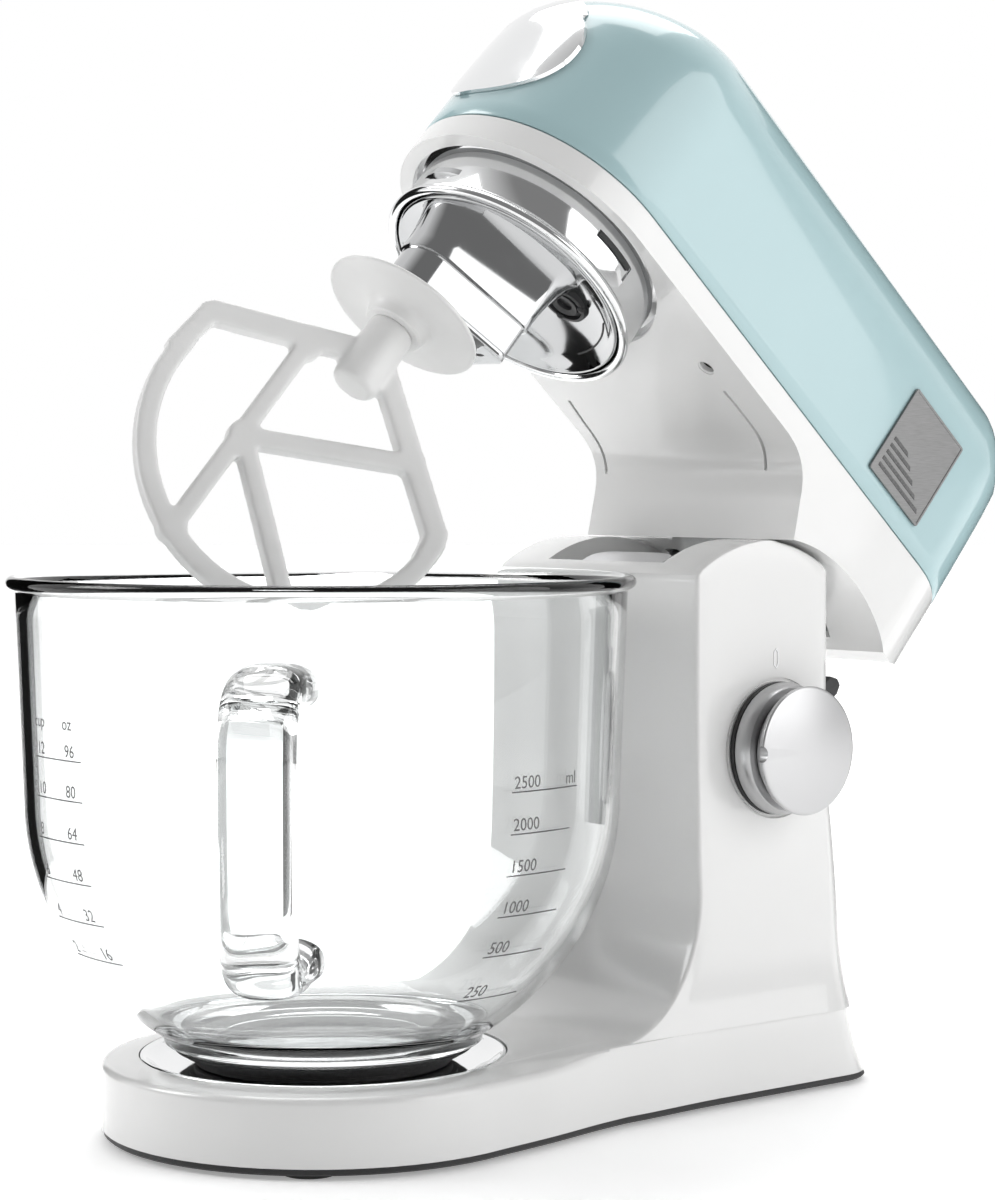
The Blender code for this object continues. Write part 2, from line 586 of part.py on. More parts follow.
make("main_shaft", rod(0.0050, 0.2563, 0.2862), STEEL, HUB)
make("worm_wheel", tube(0.0053, 0.0222, 0.2690, 0.2800, steps=36), BRONZE, HUB)
BEVEL_TOP, BEVEL_FACE = 0.0080, 0.0042
make("bevel_gear", turned([(0, OUTLET_Z - BEVEL_TOP), (BEVEL_TOP - 0.0005, OUTLET_Z - BEVEL_TOP),
                           (BEVEL_FACE - 0.0005, OUTLET_Z - BEVEL_FACE),
                           (0, OUTLET_Z - BEVEL_FACE)], steps=36), STEEL, HUB)

make("tool_spindle", turned([(0, 0.1700), (0.0062, 0.1700), (0.0067, 0.1710), (0.0067, 0.2390),
                             (0.0045, 0.2390), (0.0045, 0.2480), (0, 0.2480)],
                            (0, -ORBIT, 0)), STEEL, SPINDLE)
planet = prism(gear_outline(PLANET_TEETH, PLANET_PITCH - 0.0019, PLANET_PITCH + 0.0012,
                            0.46, 0.22), 0.2425, 0.2479)
bmesh.ops.translate(planet, vec=(0, -ORBIT, 0), verts=planet.verts)
planet_gear = make("planet_gear", planet, GREASED, SPINDLE)
cut(planet_gear, make("planet_bore", rod(0.0048, 0.2380, 0.2500, (0, -ORBIT, 0)), None, SPINDLE))

# ---------------------------------------------------------------- K-shaped beater
COLLAR_Z = 0.1730
BEATER_TURN = radians(-115.0)     # how far the blade is turned from the left-right plane
BLADE_HALF = 0.0035


def bar(start, end, width):
    """Outline of a straight bar between two points of (across, drop)."""
    a, b = Vector(start), Vector(end)
    side = (b - a).orthogonal().normalized() * width / 2
    return [tuple(a + side), tuple(b + side), tuple(b - side), tuple(a - side)]


def blade(outline, half):
    """A flat bar of the beater: (across, drop below the collar) in the blade's plane."""
    return prism([(across, COLLAR_Z - drop) for across, drop in outline], -half, half, axis="Y")


BARS = [((0.0060, 0.0230), (0.0600, 0.0440), 0.0085), ((0.0612, 0.0430), (0.0600, 0.0720), 0.0075),
        ((-0.0060, 0.0230), (-0.0590, 0.0560), 0.0085),
        ((-0.0585, 0.0530), (-0.0575, 0.0760), 0.0080),
        ((0.0190, 0.0290), (0.0200, 0.1200), 0.0070), ((0.0190, 0.0710), (-0.0350, 0.0408), 0.0070),
        ((0.0180, 0.0670), (-0.0280, 0.1215), 0.0070)]
rim_outer = arc((0, 0.0695), 0.0620, -4, 190, 30)
rim_inner = arc((0, 0.0695), 0.0545, 190, -4, 30)
blade_shapes = [blade([(-x, z) for x, z in rim_outer + rim_inner], BLADE_HALF)]
# Each bar is a hair thinner than the one before, so that no two faces coincide
blade_shapes += [blade(bar(*ends), BLADE_HALF - 0.0001 * (i + 1)) for i, ends in enumerate(BARS)]
blade_shapes.append(turned([(0, 0.0080), (0.0085, 0.0080), (0.0098, 0.0300), (0.0080, 0.0340),
                            (0, 0.0350)]))
bmesh.ops.transform(blade_shapes[-1], matrix=Matrix.Translation((0, 0, COLLAR_Z))
                    @ Matrix.Scale(-1, 4, (0, 0, 1)), verts=blade_shapes[-1].verts)
pieces = []
for number, shape in enumerate(blade_shapes):
    bmesh.ops.rotate(shape, matrix=Matrix.Rotation(BEATER_TURN, 3, "Z"), verts=shape.verts)
    bmesh.ops.translate(shape, vec=(0, -ORBIT, 0), verts=shape.verts)
    first = number == 0
    pieces.append(make("k_beater" if first else f"beater_bar_{number}", shape,
                       BEATER if first else None, SPINDLE))
fuse(*pieces)
cut(pieces[0], make("beater_socket", rod(0.0070, 0.1600, 0.1730, (0, -ORBIT, 0)), None, SPINDLE))

make("beater_collar", turned([(0.0070, COLLAR_Z - 0.0075), (0.0120, COLLAR_Z - 0.0075),
                              (0.0140, COLLAR_Z - 0.0015), (0.0318, COLLAR_Z - 0.0004),
                              (0.0318, COLLAR_Z + 0.0010), (0.0070, COLLAR_Z + 0.0012)],
                             (0, -ORBIT, 0), steps=32), BEATER, SPINDLE)

# ---------------------------------------------------------------- motor and transmission
chassis = make("head_chassis", loft([mirror_ring([(x, y if y > 0 else y * 0.86)
                                                  for x, y in head_outline(0.0080)], z)
                                     for z in (0.2500, 0.2530)]), CAST, HEAD)
arm_outline = ([(0.1600, 0.2515), (0.1560, 0.2150)]
               + arc((HINGE_Y, HINGE_Z), 0.0110, 160, 380, 14)
               + [(0.1900, 0.2150), (0.1980, 0.2515)])
arms = [make(f"arm_{side}", prism(arm_outline, *span, axis="X"), None, HEAD)
        for side, span in (("left", (-0.0310, -0.0250)), ("right", (0.0250, 0.0310)))]
shaft_hole = make("shaft_hole", rod(0.0100, 0.2400, 0.2600), None, HEAD)
arm_bore = make("arm_bore", rod(0.0043, -0.040, 0.040, (0, HINGE_Y, HINGE_Z), "X"), None, HEAD)
fuse(chassis, *arms)
cut(chassis, shaft_hole, arm_bore)

case = make("gearbox_case", block((-0.0440, 0.0270), (-0.0280, 0.0600), (0.2533, 0.2860)),
            CAST, HEAD)
cut(case, make("case_hollow", block((-0.0420, 0.0250), (-0.0260, 0.0580), (0.2500, 0.2845)),
               None, HEAD),
    make("case_shaft_hole", rod(0.0056, 0.2800, 0.2900), None, HEAD),
    make("case_worm_hole", rod(0.0050, 0.0500, 0.0700, (WORM_X, 0, WORM_Z), "Y"), None, HEAD))

make("worm_shaft", turned([(0, -0.0240), (0.0045, -0.0240), (0.0045, -0.0160),
                           (0.0085, -0.0160), (0.0085, 0.0160), (0.0045, 0.0160),
                           (0.0045, 0.0770), (0, 0.0770)], (WORM_X, 0, WORM_Z), "Y"),
     STEEL, WORM)
DRIVEN_RADIUS, DRIVER_RADIUS, BELT_HALF = 0.0195, 0.0078, 0.0038


def pulley(bore, radius, centre):
    """A flat-faced pulley with two low flanges, round its shaft."""
    lip = BELT_HALF + 0.0008
    return turned([(bore, BELT_Y - lip), (radius + 0.0005, BELT_Y - lip),
                   (radius, BELT_Y - BELT_HALF), (radius, BELT_Y + BELT_HALF),
                   (radius + 0.0005, BELT_Y + lip), (bore, BELT_Y + lip)], centre, "Y", 28)


make("driven_pulley", pulley(0.0048, DRIVEN_RADIUS, (WORM_X, 0, WORM_Z)), BLACK, WORM)
make("motor_pulley", pulley(0.0043, DRIVER_RADIUS, (0, 0, MOTOR_Z)), BLACK, MOTOR)


def belt_loop(offset, count=22):
    """Outline of the belt round both pulleys, as (x, z)."""
    big, small = (WORM_X, WORM_Z), (0.0, MOTOR_Z)
    span = hypot(small[0] - big[0], small[1] - big[1])
    heading = degrees(atan2(small[1] - big[1], small[0] - big[0]))
    wrap = degrees(acos((DRIVEN_RADIUS - DRIVER_RADIUS) / span))
    return (arc(big, DRIVEN_RADIUS + offset, heading + wrap, heading + 360 - wrap, count)
            + arc(small, DRIVER_RADIUS + offset, heading - wrap, heading + wrap, count // 2))


belt = make("drive_belt", prism(belt_loop(0.0017), BELT_Y - 0.0035, BELT_Y + 0.0035, "Y"),
            RUBBER, HEAD)
cut(belt, make("belt_inside", prism(belt_loop(0.0005), BELT_Y - 0.01, BELT_Y + 0.01, "Y"),
               None, HEAD))

make("motor_stator", tube(0.0193, 0.0330, 0.0940, 0.1430, (0, 0, MOTOR_Z), "Y", 28),
     COPPER, HEAD)
make("motor_rotor", turned([(0, 0.0650), (0.0040, 0.0650), (0.0040, 0.0960), (0.0188, 0.0960),
                            (0.0188, 0.1410), (0.0040, 0.1410), (0.0040, 0.1800), (0, 0.1800)],
                           (0, 0, MOTOR_Z), "Y", 20), STEEL, MOTOR)
make("motor_fan", tube(0.0043, 0.0300, 0.1600, 0.1700, (0, 0, MOTOR_Z), "Y", 20), BLACK, MOTOR)
for where, y in (("front", 0.0850), ("rear", 0.1500)):
    bracket = make(f"motor_bracket_{where}", block((-0.0300, 0.0300), (y, y + 0.004),
                                                   (0.2533, 0.3180)), CAST, HEAD)
    cut(bracket, make(f"bracket_bore_{where}",
                      rod(0.0090, 0.06, 0.17, (0, 0, MOTOR_Z), "Y"), None, HEAD))
    make(f"motor_bearing_{where}", tube(0.0043, 0.0087, y, y + 0.004, (0, 0, MOTOR_Z), "Y"),
         STEEL, HEAD)

make("outlet_shaft", turned([(0, -0.0510), (0.0095, -0.0510), (0.0095, -0.0400),
                             (0.0050, -0.0400), (0.0050, -BEVEL_TOP),
                             (BEVEL_TOP - 0.0005, -BEVEL_TOP), (BEVEL_FACE - 0.0005, -BEVEL_FACE),
                             (0, -BEVEL_FACE)], (0, 0, OUTLET_Z), "Y", 20), STEEL, OUTLET)
make("outlet_bearing", tube(0.0053, 0.0110, -0.0340, -0.0280, (0, 0, OUTLET_Z), "Y"),
     BRONZE, HEAD)
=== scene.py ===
"""Tilt-head stand mixer with its head raised: the finished look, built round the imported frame."""
import json
from math import acos, atan2, cos, pi, radians, sin, sqrt, tau

import bmesh
import bpy
from mathutils import Matrix, Vector


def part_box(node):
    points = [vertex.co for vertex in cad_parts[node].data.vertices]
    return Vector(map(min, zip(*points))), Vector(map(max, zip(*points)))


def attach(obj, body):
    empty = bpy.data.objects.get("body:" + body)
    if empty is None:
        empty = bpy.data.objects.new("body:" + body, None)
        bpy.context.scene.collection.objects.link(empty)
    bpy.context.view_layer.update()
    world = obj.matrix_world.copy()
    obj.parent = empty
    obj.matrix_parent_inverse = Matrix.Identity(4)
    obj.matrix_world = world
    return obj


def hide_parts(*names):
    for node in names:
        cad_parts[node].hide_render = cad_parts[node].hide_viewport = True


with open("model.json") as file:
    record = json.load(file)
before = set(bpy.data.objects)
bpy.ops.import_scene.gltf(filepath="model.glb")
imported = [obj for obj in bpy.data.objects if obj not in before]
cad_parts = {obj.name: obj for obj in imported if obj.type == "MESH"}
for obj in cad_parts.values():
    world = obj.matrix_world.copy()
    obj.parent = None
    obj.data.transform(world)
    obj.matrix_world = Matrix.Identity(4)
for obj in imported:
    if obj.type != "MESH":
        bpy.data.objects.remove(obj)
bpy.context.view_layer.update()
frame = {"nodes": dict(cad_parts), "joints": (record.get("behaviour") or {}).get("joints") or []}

# ------------------------------------------------------------ studio and camera
# A pale floor that runs out of sight and glows with painted light, faintly under the mixer and more
# towards the horizon, a bright even sky, and soft lamps above and to the sides.
# Long lens, a little above level, looking down the mixer's right-hand front quarter.
camera_data = bpy.data.cameras.new("camera")
camera_data.lens = 92.1
camera_data.sensor_width = 36.0
camera = bpy.data.objects.new("camera", camera_data)
camera.location = (0.9046, -0.6752, 0.2442)
camera.rotation_euler = (radians(90 - 2.4166), 0, radians(50))
bpy.context.scene.collection.objects.link(camera)
bpy.context.scene.camera = camera


class Socket:
    """One output of a material's node. Arithmetic written with it becomes Math nodes."""

    def __init__(self, finish, link):
        self.finish = finish
        self.link = link

    def math(self, operation, *values):
        return self.finish.node("ShaderNodeMath", {"operation": operation}, dict(enumerate(values)))

    def __add__(self, other):
        return self.math("ADD", self, other)

    def __sub__(self, other):
        return self.math("SUBTRACT", self, other)

    def __rsub__(self, other):
        return self.math("SUBTRACT", other, self)

    def __mul__(self, other):
        return self.math("MULTIPLY", self, other)

    def __truediv__(self, other):
        return self.math("DIVIDE", self, other)

    def __gt__(self, other):
        return self.math("GREATER_THAN", self, other)

    def wave(self):
        return self.math("SINE", self)

    __radd__ = __add__
    __rmul__ = __mul__


class Finish:
    """A material with one main shader, and the nodes that vary it over the surface."""

    def __init__(self, name, colour, roughness, **constants):
        self.material = bpy.data.materials.new(name)
        self.material.use_nodes = True
        self.tree = self.material.node_tree
        self.shader = self.tree.nodes["Principled BSDF"]
        self.shader.inputs["Base Color"].default_value = (*colour, 1)
        self.shader.inputs["Roughness"].default_value = roughness
        for socket, value in constants.items():
            self.shader.inputs[socket.replace("_", " ")].default_value = value

    def node(self, kind, settings, values, output=0):
        """Add a node: its settings first, then the values or links of its sockets."""
        made = self.tree.nodes.new(kind)
        for name, value in settings.items():
            if name == "stops":
                for place, shade in value[2:]:
                    made.color_ramp.elements.new(place)
                for element, (place, shade) in zip(made.color_ramp.elements, value):
                    element.position = place
                    element.color = (*shade, 1) if isinstance(shade, tuple) else (shade,) * 3 + (1,)
            else:
                setattr(made, name, value)
        for name, value in values.items():
            if isinstance(value, Socket):
                self.tree.links.new(value.link, made.inputs[name])
            else:
                made.inputs[name].default_value = value
        return Socket(self, made.outputs[output])

    def place(self, turn=(0, 0, 0), scale=(1, 1, 1)):
        """Position on the piece, in metres, turned or stretched for a pattern with a grain."""
        where = self.node("ShaderNodeTexCoord", {}, {}, "Object")
        return self.node("ShaderNodeMapping", {}, {"Vector": where, "Rotation": turn, "Scale": scale})

    def noise(self, where, scale, detail=2.0):
        return self.node("ShaderNodeTexNoise", {}, {"Vector": where, "Scale": scale, "Detail": detail})

    def ramp(self, mask, *stops):
        """Grey or colour along a mask, from (place, shade) stops."""
        return self.node("ShaderNodeValToRGB", {"stops": stops}, {"Fac": mask})

    def vary(self, socket, value):
        self.tree.links.new(value.link, self.shader.inputs[socket])

    def relief(self, height, depth, strength=1.0):
        """Bump the surface by a height field, with its depth in metres."""
        bump = self.node("ShaderNodeBump", {}, {"Height": height, "Distance": depth,
                                                "Strength": strength})
        self.vary("Normal", bump)


floor_finish = Finish("studio_floor", (0.93, 0.93, 0.93), 0.55, Specular_IOR_Level=0.25,
                      Emission_Strength=1.0)
floor_grain = floor_finish.noise(floor_finish.place(), 3.0)
floor_finish.vary("Roughness", 0.5 + floor_grain * 0.1)
# Painted light: the floor glows by its own emission, less close to the mixer and more with distance, so
# the far floor reads white.
floor_reach = floor_finish.node("ShaderNodeVectorMath", {"operation": "LENGTH"},
                                {0: floor_finish.place()}, "Value")
floor_finish.vary("Emission Color", floor_finish.ramp(floor_reach / 9.0, (0.05, 0.30), (0.25, 0.55)))
bpy.ops.object.select_all(action="DESELECT")
bpy.ops.mesh.primitive_circle_add(vertices=96, radius=9.0, fill_type="NGON", location=(0, 0, 0))
floor = bpy.context.object
floor.name = "studio_floor"
floor.data.materials.append(floor_finish.material)

sky = bpy.data.worlds.new("studio_sky")
sky.use_nodes = True
backdrop = sky.node_tree.nodes["Background"]
backdrop.inputs["Color"].default_value = (1.0, 1.0, 1.0, 1)


def sky_node(kind, settings, values, output=0):
    """Add a node to the sky: its settings, then the values or links of its sockets."""
    made = sky.node_tree.nodes.new(kind)
    for name, value in settings.items():
        setattr(made, name, value)
    for name, value in values.items():
        if isinstance(value, bpy.types.NodeSocket):
            sky.node_tree.links.new(value, made.inputs[name])
        else:
            made.inputs[name].default_value = value
    return made.outputs[output]


def sky_along(direction):
    where = sky_node("ShaderNodeTexCoord", {}, {}, "Generated")
    return sky_node("ShaderNodeVectorMath", {"operation": "DOT_PRODUCT"}, {0: where, 1: direction},
                    "Value")


def sky_step(value, low, high, first, last):
    return sky_node("ShaderNodeMapRange", {}, {"Value": value, "From Min": low, "From Max": high,
                                               "To Min": first, "To Max": last})


def sky_math(operation, first, second=0.0):
    return sky_node("ShaderNodeMath", {"operation": operation}, {0: first, 1: second})


# Brightest behind the mixer and to its left.
sky_light = sky_step(sky_along((-0.85, 0.52, 0.0)), -0.28, 0.32, 0.25, 1.0)
rays = sky_node("ShaderNodeLightPath", {}, {}, "Is Diffuse Ray")
sky_light = sky_math("MULTIPLY", sky_light, sky_step(rays, 0.0, 1.0, 1.0, 0.70))
rays = sky_node("ShaderNodeLightPath", {}, {}, "Is Camera Ray")
sky.node_tree.links.new(sky_math("MAXIMUM", sky_light, rays), backdrop.inputs["Strength"])
bpy.context.scene.world = sky
bpy.context.scene.view_settings.view_transform = "Standard"

# Two black cards stand behind the mixer, out of view, and draw the dark edges of the clear glass.
card_finish = Finish("black_card", (0.01, 0.01, 0.01), 0.8, Specular_IOR_Level=0.1)
card_finish.vary("Roughness", 0.75 + card_finish.noise(card_finish.place(), 40.0) * 0.1)
CARD_FOOT, CARD_HIGH = 0.002, 0.62
CARDS = {"card_left": ((-0.392, 0.03), (-0.41, -0.20)), "card_right": ((-0.24, 0.73), (0.16, 0.80))}
for name, (near, far) in CARDS.items():
    bpy.ops.mesh.primitive_plane_add(size=1.0, location=(0, 0, 0))
    card = bpy.context.object
    card.name = name
    corners = [(*edge, height) for height in (CARD_FOOT, CARD_HIGH) for edge in (near, far)]
    for vert, corner in zip(card.data.vertices, corners):
        vert.co = corner
    card.data.materials.append(card_finish.material)
    card.visible_camera = card.visible_diffuse = card.visible_shadow = False

LAMPS = {"over": ((-0.8, 0.9, 2.5), (0, 0.05, 0), 2.0, 43.0),
         "side": ((1.7, 1.0, 0.9), (0, 0.08, 0.2), 1.6, 17.5),
         "left": ((-1.5, -1.7, 1.6), (0, 0, 0.15), 1.1, 22.0)}
for lamp, (place, target, width, power) in LAMPS.items():
    light = bpy.data.lights.new(lamp, "AREA")
    light.energy = power
    light.size = width
    holder = bpy.data.objects.new(lamp, light)
    holder.location = place
    holder.rotation_euler = (Vector(target) - Vector(place)).to_track_quat("-Z", "Y").to_euler()
    bpy.context.scene.collection.objects.link(holder)


# ------------------------------------------------------------ stand
# Base and column are one hollow aluminium casting, enamelled glossy white. The front of the column
# runs down into the top of the base in one sweep, and its sides run down flush with the base's.
WHITE = Finish("white_enamel", (0.80, 0.80, 0.795), 0.22, Coat_Weight=0.6, Coat_Roughness=0.06)
white_where = WHITE.place()
white_cloud = WHITE.noise(white_where, 9.0, 3.0)
WHITE.vary("Base Color", WHITE.ramp(white_cloud, (0.30, (0.79, 0.79, 0.785)),
                                    (0.70, (0.82, 0.82, 0.815))))
WHITE.vary("Roughness", 0.17 + white_cloud * 0.09)
WHITE.relief(WHITE.noise(white_where, 420.0, 1.0), 0.00002, 0.5)

HINGE = Vector(next(j["pos_m"] for j in frame["joints"] if j["name"] == "head_tilt"))
TILT = radians(next(j["range_deg"][1] for j in frame["joints"] if j["name"] == "head_tilt"))
raised = Matrix.Translation(HINGE) @ Matrix.Rotation(-TILT, 4, "X") @ Matrix.Translation(-HINGE)


def arc(centre, radius, start, end, count):
    """Points on an arc, angles in degrees from the first axis to the second."""
    turns = [radians(start + (end - start) * i / (count - 1)) for i in range(count)]
    return [(centre[0] + radius * cos(t), centre[1] + radius * sin(t)) for t in turns]


def flowing(points, count):
    """Points spaced along a smooth curve through the given ones."""
    ends = [2 * Vector(points[0]) - Vector(points[1]), 2 * Vector(points[-1]) - Vector(points[-2])]
    knots = [ends[0]] + [Vector(p) for p in points] + [ends[1]]
    fine = []
    for a, b, c, d in zip(knots, knots[1:], knots[2:], knots[3:]):
        for i in range(24):
            t = i / 24
            fine.append(0.5 * (2 * b + (c - a) * t + (2 * a - 5 * b + 4 * c - d) * t ** 2
                               + (3 * b - a - 3 * c + d) * t ** 3))
    fine.append(Vector(points[-1]))
    lengths = [0.0]
    for a, b in zip(fine, fine[1:]):
        lengths.append(lengths[-1] + (b - a).length)
    spaced, step = [], 0
    for i in range(count):
        reach = lengths[-1] * i / (count - 1)
        while step < len(fine) - 2 and lengths[step + 1] < reach:
            step += 1
        share = (reach - lengths[step]) / max(lengths[step + 1] - lengths[step], 1e-12)
        spaced.append(tuple(fine[step].lerp(fine[step + 1], min(share, 1.0))))
    return spaced


def mirrored(half, z):
    """A level ring from half an outline that runs from the front centre to the back centre."""
    right = [(p[0], p[1], p[2] if len(p) > 2 else z) for p in half]
    left = [(-x, y, height) for x, y, height in right[::-1] if x > 1e-6]
    return right + left


def skin(name, rings, ends=(True, True)):
    """Lay a circle of points on the first outline, then extrude its edge on to each next outline."""
    bpy.ops.object.select_all(action="DESELECT")
    bpy.ops.mesh.primitive_circle_add(vertices=len(rings[0]), radius=1.0, fill_type="NOTHING")
    piece = bpy.context.object
    piece.name = name
    bpy.ops.object.transform_apply(location=True, rotation=True, scale=True)
    bpy.ops.object.mode_set(mode="EDIT")
    bm = bmesh.from_edit_mesh(piece.data)
    bm.verts.ensure_lookup_table()
    order = list(range(len(rings[0])))
    for index, point in zip(order, rings[0]):
        bm.verts[index].co = point
    if ends[0]:
        bpy.ops.mesh.edge_face_add()
    for ring in rings[1:]:
        bpy.ops.mesh.extrude_edges_move()
        bm = bmesh.from_edit_mesh(piece.data)
        bm.verts.ensure_lookup_table()
        order = [next(e.other_vert(bm.verts[i]).index for e in bm.verts[i].link_edges
                      if e.other_vert(bm.verts[i]).select) for i in order]
        for index, point in zip(order, ring):
            bm.verts[index].co = point
    if ends[1]:
        bpy.ops.mesh.edge_face_add()
    bpy.ops.mesh.select_all(action="SELECT")
    bpy.ops.mesh.normals_make_consistent(inside=False)
    bpy.ops.object.mode_set(mode="OBJECT")
    return piece


def lathe(name, profile, centre=(0, 0, 0), axis="Z", steps=96):
    """Draw (radius, height) points by extruding one point, then spin them about an axis."""
    bpy.ops.object.select_all(action="DESELECT")
    bpy.ops.mesh.primitive_plane_add(size=0.01, location=(0, 0, 0))
    piece = bpy.context.object
    piece.name = name
    bpy.ops.object.mode_set(mode="EDIT")
    bpy.ops.mesh.merge(type="CENTER")
    bpy.ops.transform.translate(value=(profile[0][0], 0, profile[0][1]))
    for (r0, z0), (r1, z1) in zip(profile, profile[1:]):
        bpy.ops.mesh.extrude_vertices_move(TRANSFORM_OT_translate={"value": (r1 - r0, 0, z1 - z0)})
    bpy.ops.mesh.select_all(action="SELECT")
    bpy.ops.mesh.spin(steps=steps, angle=tau, center=(0, 0, 0), axis=(0, 0, 1))
    bpy.ops.mesh.select_all(action="SELECT")
    bpy.ops.mesh.remove_doubles(threshold=0.000002)
    bpy.ops.mesh.normals_make_consistent(inside=False)
    bpy.ops.object.mode_set(mode="OBJECT")
    turn = {"X": Matrix.Rotation(pi / 2, 4, "Y"), "Y": Matrix.Rotation(-pi / 2, 4, "X"),
            "Z": Matrix.Identity(4)}[axis]
    piece.data.transform(Matrix.Translation(centre) @ turn)
    return piece


def slab(name, outline, low, high, axis="Z"):
    """Extrude a flat outline: (x, y) along Z, (y, z) along X, or (x, z) along Y."""
    place = {"Z": lambda a, b, c: (a, b, c), "X": lambda a, b, c: (c, a, b),
             "Y": lambda a, b, c: (a, c, b)}[axis]
    return skin(name, [[place(a, b, low) for a, b in outline], [place(a, b, high) for a, b in outline]])


def combine(piece, operation, *tools):
    """Cut, join or trim a piece with other solids, which are used up."""
    for tool in tools:
        step = piece.modifiers.new(operation.lower(), "BOOLEAN")
        step.operation = operation
        step.object = tool
        step.solver = "EXACT"
        bpy.context.view_layer.objects.active = piece
        bpy.ops.object.modifier_apply(modifier=step.name)
        bpy.data.objects.remove(tool, do_unlink=True)
    return piece


def soften(piece, width, segments=3, angle=40):
    """Round the sharp edges."""
    step = piece.modifiers.new("bevel", "BEVEL")
    step.width = width
    step.segments = segments
    step.limit_method = "ANGLE"
    step.angle_limit = radians(angle)
    step.use_clamp_overlap = True
    bpy.context.view_layer.objects.active = piece
    bpy.ops.object.modifier_apply(modifier=step.name)
    return piece


def fit(piece, body, slot, finish, *nodes, angle=32, on_head=False):
    """Put a finished piece on its body, in place of its CAD nodes."""
    if on_head:
        piece.data.transform(raised)
    bpy.ops.object.select_all(action="DESELECT")
    piece.select_set(True)
    bpy.context.view_layer.objects.active = piece
    bpy.ops.object.shade_smooth_by_angle(angle=radians(angle))
    piece.data.materials.clear()
    piece.data.materials.append(finish.material)
    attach(piece, body)
    if nodes:
        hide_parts(*nodes)
    return piece


BASE_TOP = 0.0300
EDGE_TOP = 0.0286                  # outer edge of the base's top, a little lower than its middle
STAND_LOW = 0.0042
FRONT = 0.134                      # front of the column
SWEEP_HIGH, SWEEP_LONG = 0.0550, 0.0500
HALF = 0.0588                      # half width of the column
TOP_ROUND = 0.0663                 # rounded top of the column, about the hinge
BACK_CORNER, BACK_SHARP = 0.022, 0.0090        # rounding low down and higher up the back


def eased(value, low, high):
    share = min(1.0, max(0.0, (value - low) / (high - low)))
    return share * share * (3 - 2 * share)


def flare(z):
    """Half width of the column and base together at a height."""
    return HALF + 0.0082 * max(0.0, 1 - z / 0.190) ** 2.4


def back_line(z):
    lower = 0.2365 - 0.0270 * min(1.0, z / 0.120) ** 0.55
    if z < HINGE.z:
        return lower
    return min(lower, HINGE.y + sqrt(max(0.0, TOP_ROUND ** 2 - (z - HINGE.z) ** 2)))


def front_line(z):
    if z < BASE_TOP + SWEEP_HIGH:
        rise = min(1.0, (BASE_TOP + SWEEP_HIGH - z) / SWEEP_HIGH)
        return FRONT - SWEEP_LONG * (1 - sqrt(1 - rise ** 2))
    if z < HINGE.z:
        return FRONT
    return max(FRONT, HINGE.y - sqrt(max(0.0, TOP_ROUND ** 2 - (z - HINGE.z) ** 2)))


plan_front = arc((0, 0.001), 0.0825, -90, 12, 20)
plan_side = flowing([(0.0807, 0.0182), (0.0765, 0.047), (0.0718, 0.072), (0.0692, 0.090)], 11)[1:]
FACE_POINTS = len(plan_front) + len(plan_side)
SIDE_POINTS, CORNER_POINTS = 12, 12


def rear_half(z, start, half, inset=0.0):
    """Side and back corner of the stand at a height, from where the side starts."""
    back = back_line(z) - inset
    rounding = BACK_CORNER + (BACK_SHARP - BACK_CORNER) * eased(z, 0.010, 0.110)
    radius = min(rounding, 0.45 * (back - start), 0.45 * half)
    side = [(half, start + (back - radius - start) * i / SIDE_POINTS, z)
            for i in range(1, SIDE_POINTS)]
    corner = [(x, y, z) for x, y in arc((half - radius, back - radius), radius, 0, 90,
                                        CORNER_POINTS)]
    return side + corner + [(0.0, back, z)]


def base_half(z, inset, lift=0.0):
    """Base outline. The inset and the drop of its top edge fade out where the column begins."""
    points = []
    for x, y in plan_front + plan_side:
        near = eased(y, 0.040, 0.088)
        lean = (0.0670 - flare(z)) * near
        out = Vector((x, y - 0.001))
        shrink = 1 - (inset * (1 - near) + lean) / out.length
        points.append((x * shrink, 0.001 + out.y * shrink, z + (lift * near)))
    start = points[-1]
    rear = [(x + (start[0] - flare(z)) * (1 - eased(y, 0.09, 0.14)), y, z + lift)
            for x, y, _ in rear_half(z, start[1], flare(z))]
    rear[-1] = (0.0, rear[-1][1], rear[-1][2])
    return points + rear


def column_half(z):
    """Column outline with a crisp front corner."""
    front, corner = front_line(z), 0.0016
    half = flare(z) + 0.0022 * (1 - eased(front, 0.088, 0.134))
    face = [((half - corner) * i / (FACE_POINTS - 5), front, z) for i in range(FACE_POINTS - 4)]
    bend = [(x, y, z) for x, y in arc((half - corner, front + corner), corner, -90, 0, 5)[1:]]
    return face + bend + rear_half(z, front + corner, half)


EDGE = 0.0026                      # rounding of the base's top edge
rings = [base_half(z, 0.0) for z in (STAND_LOW, 0.0060, 0.0150, EDGE_TOP - EDGE)]
for step in (1, 2, 3, 4):
    turn = pi / 2 * step / 4
    rings.append(base_half(EDGE_TOP - EDGE * (1 - sin(turn)), EDGE * (1 - cos(turn)),
                           0.0012 * step / 4))
rings.append(base_half(BASE_TOP - 0.0003, 0.0100, 0.0006))
rings.append(base_half(BASE_TOP, 0.0160, 0.0005))
sweep = [BASE_TOP + SWEEP_HIGH * (1 - cos(radians(4 + 86 * i / 16))) for i in range(17)]
rings += [column_half(z) for z in [z for z in sweep if z > BASE_TOP + 0.0007]]
rings += [column_half(0.0850 + (0.2030 - 0.0850) * i / 12) for i in range(1, 13)]
rings += [column_half(HINGE.z + TOP_ROUND * sin(radians(a)))
          for a in (54, 57, 60, 63, 66, 69, 72, 75, 78, 81, 84, 87, 88.6)]
stand = skin("stand_shell", [mirrored(ring, 0) for ring in rings])
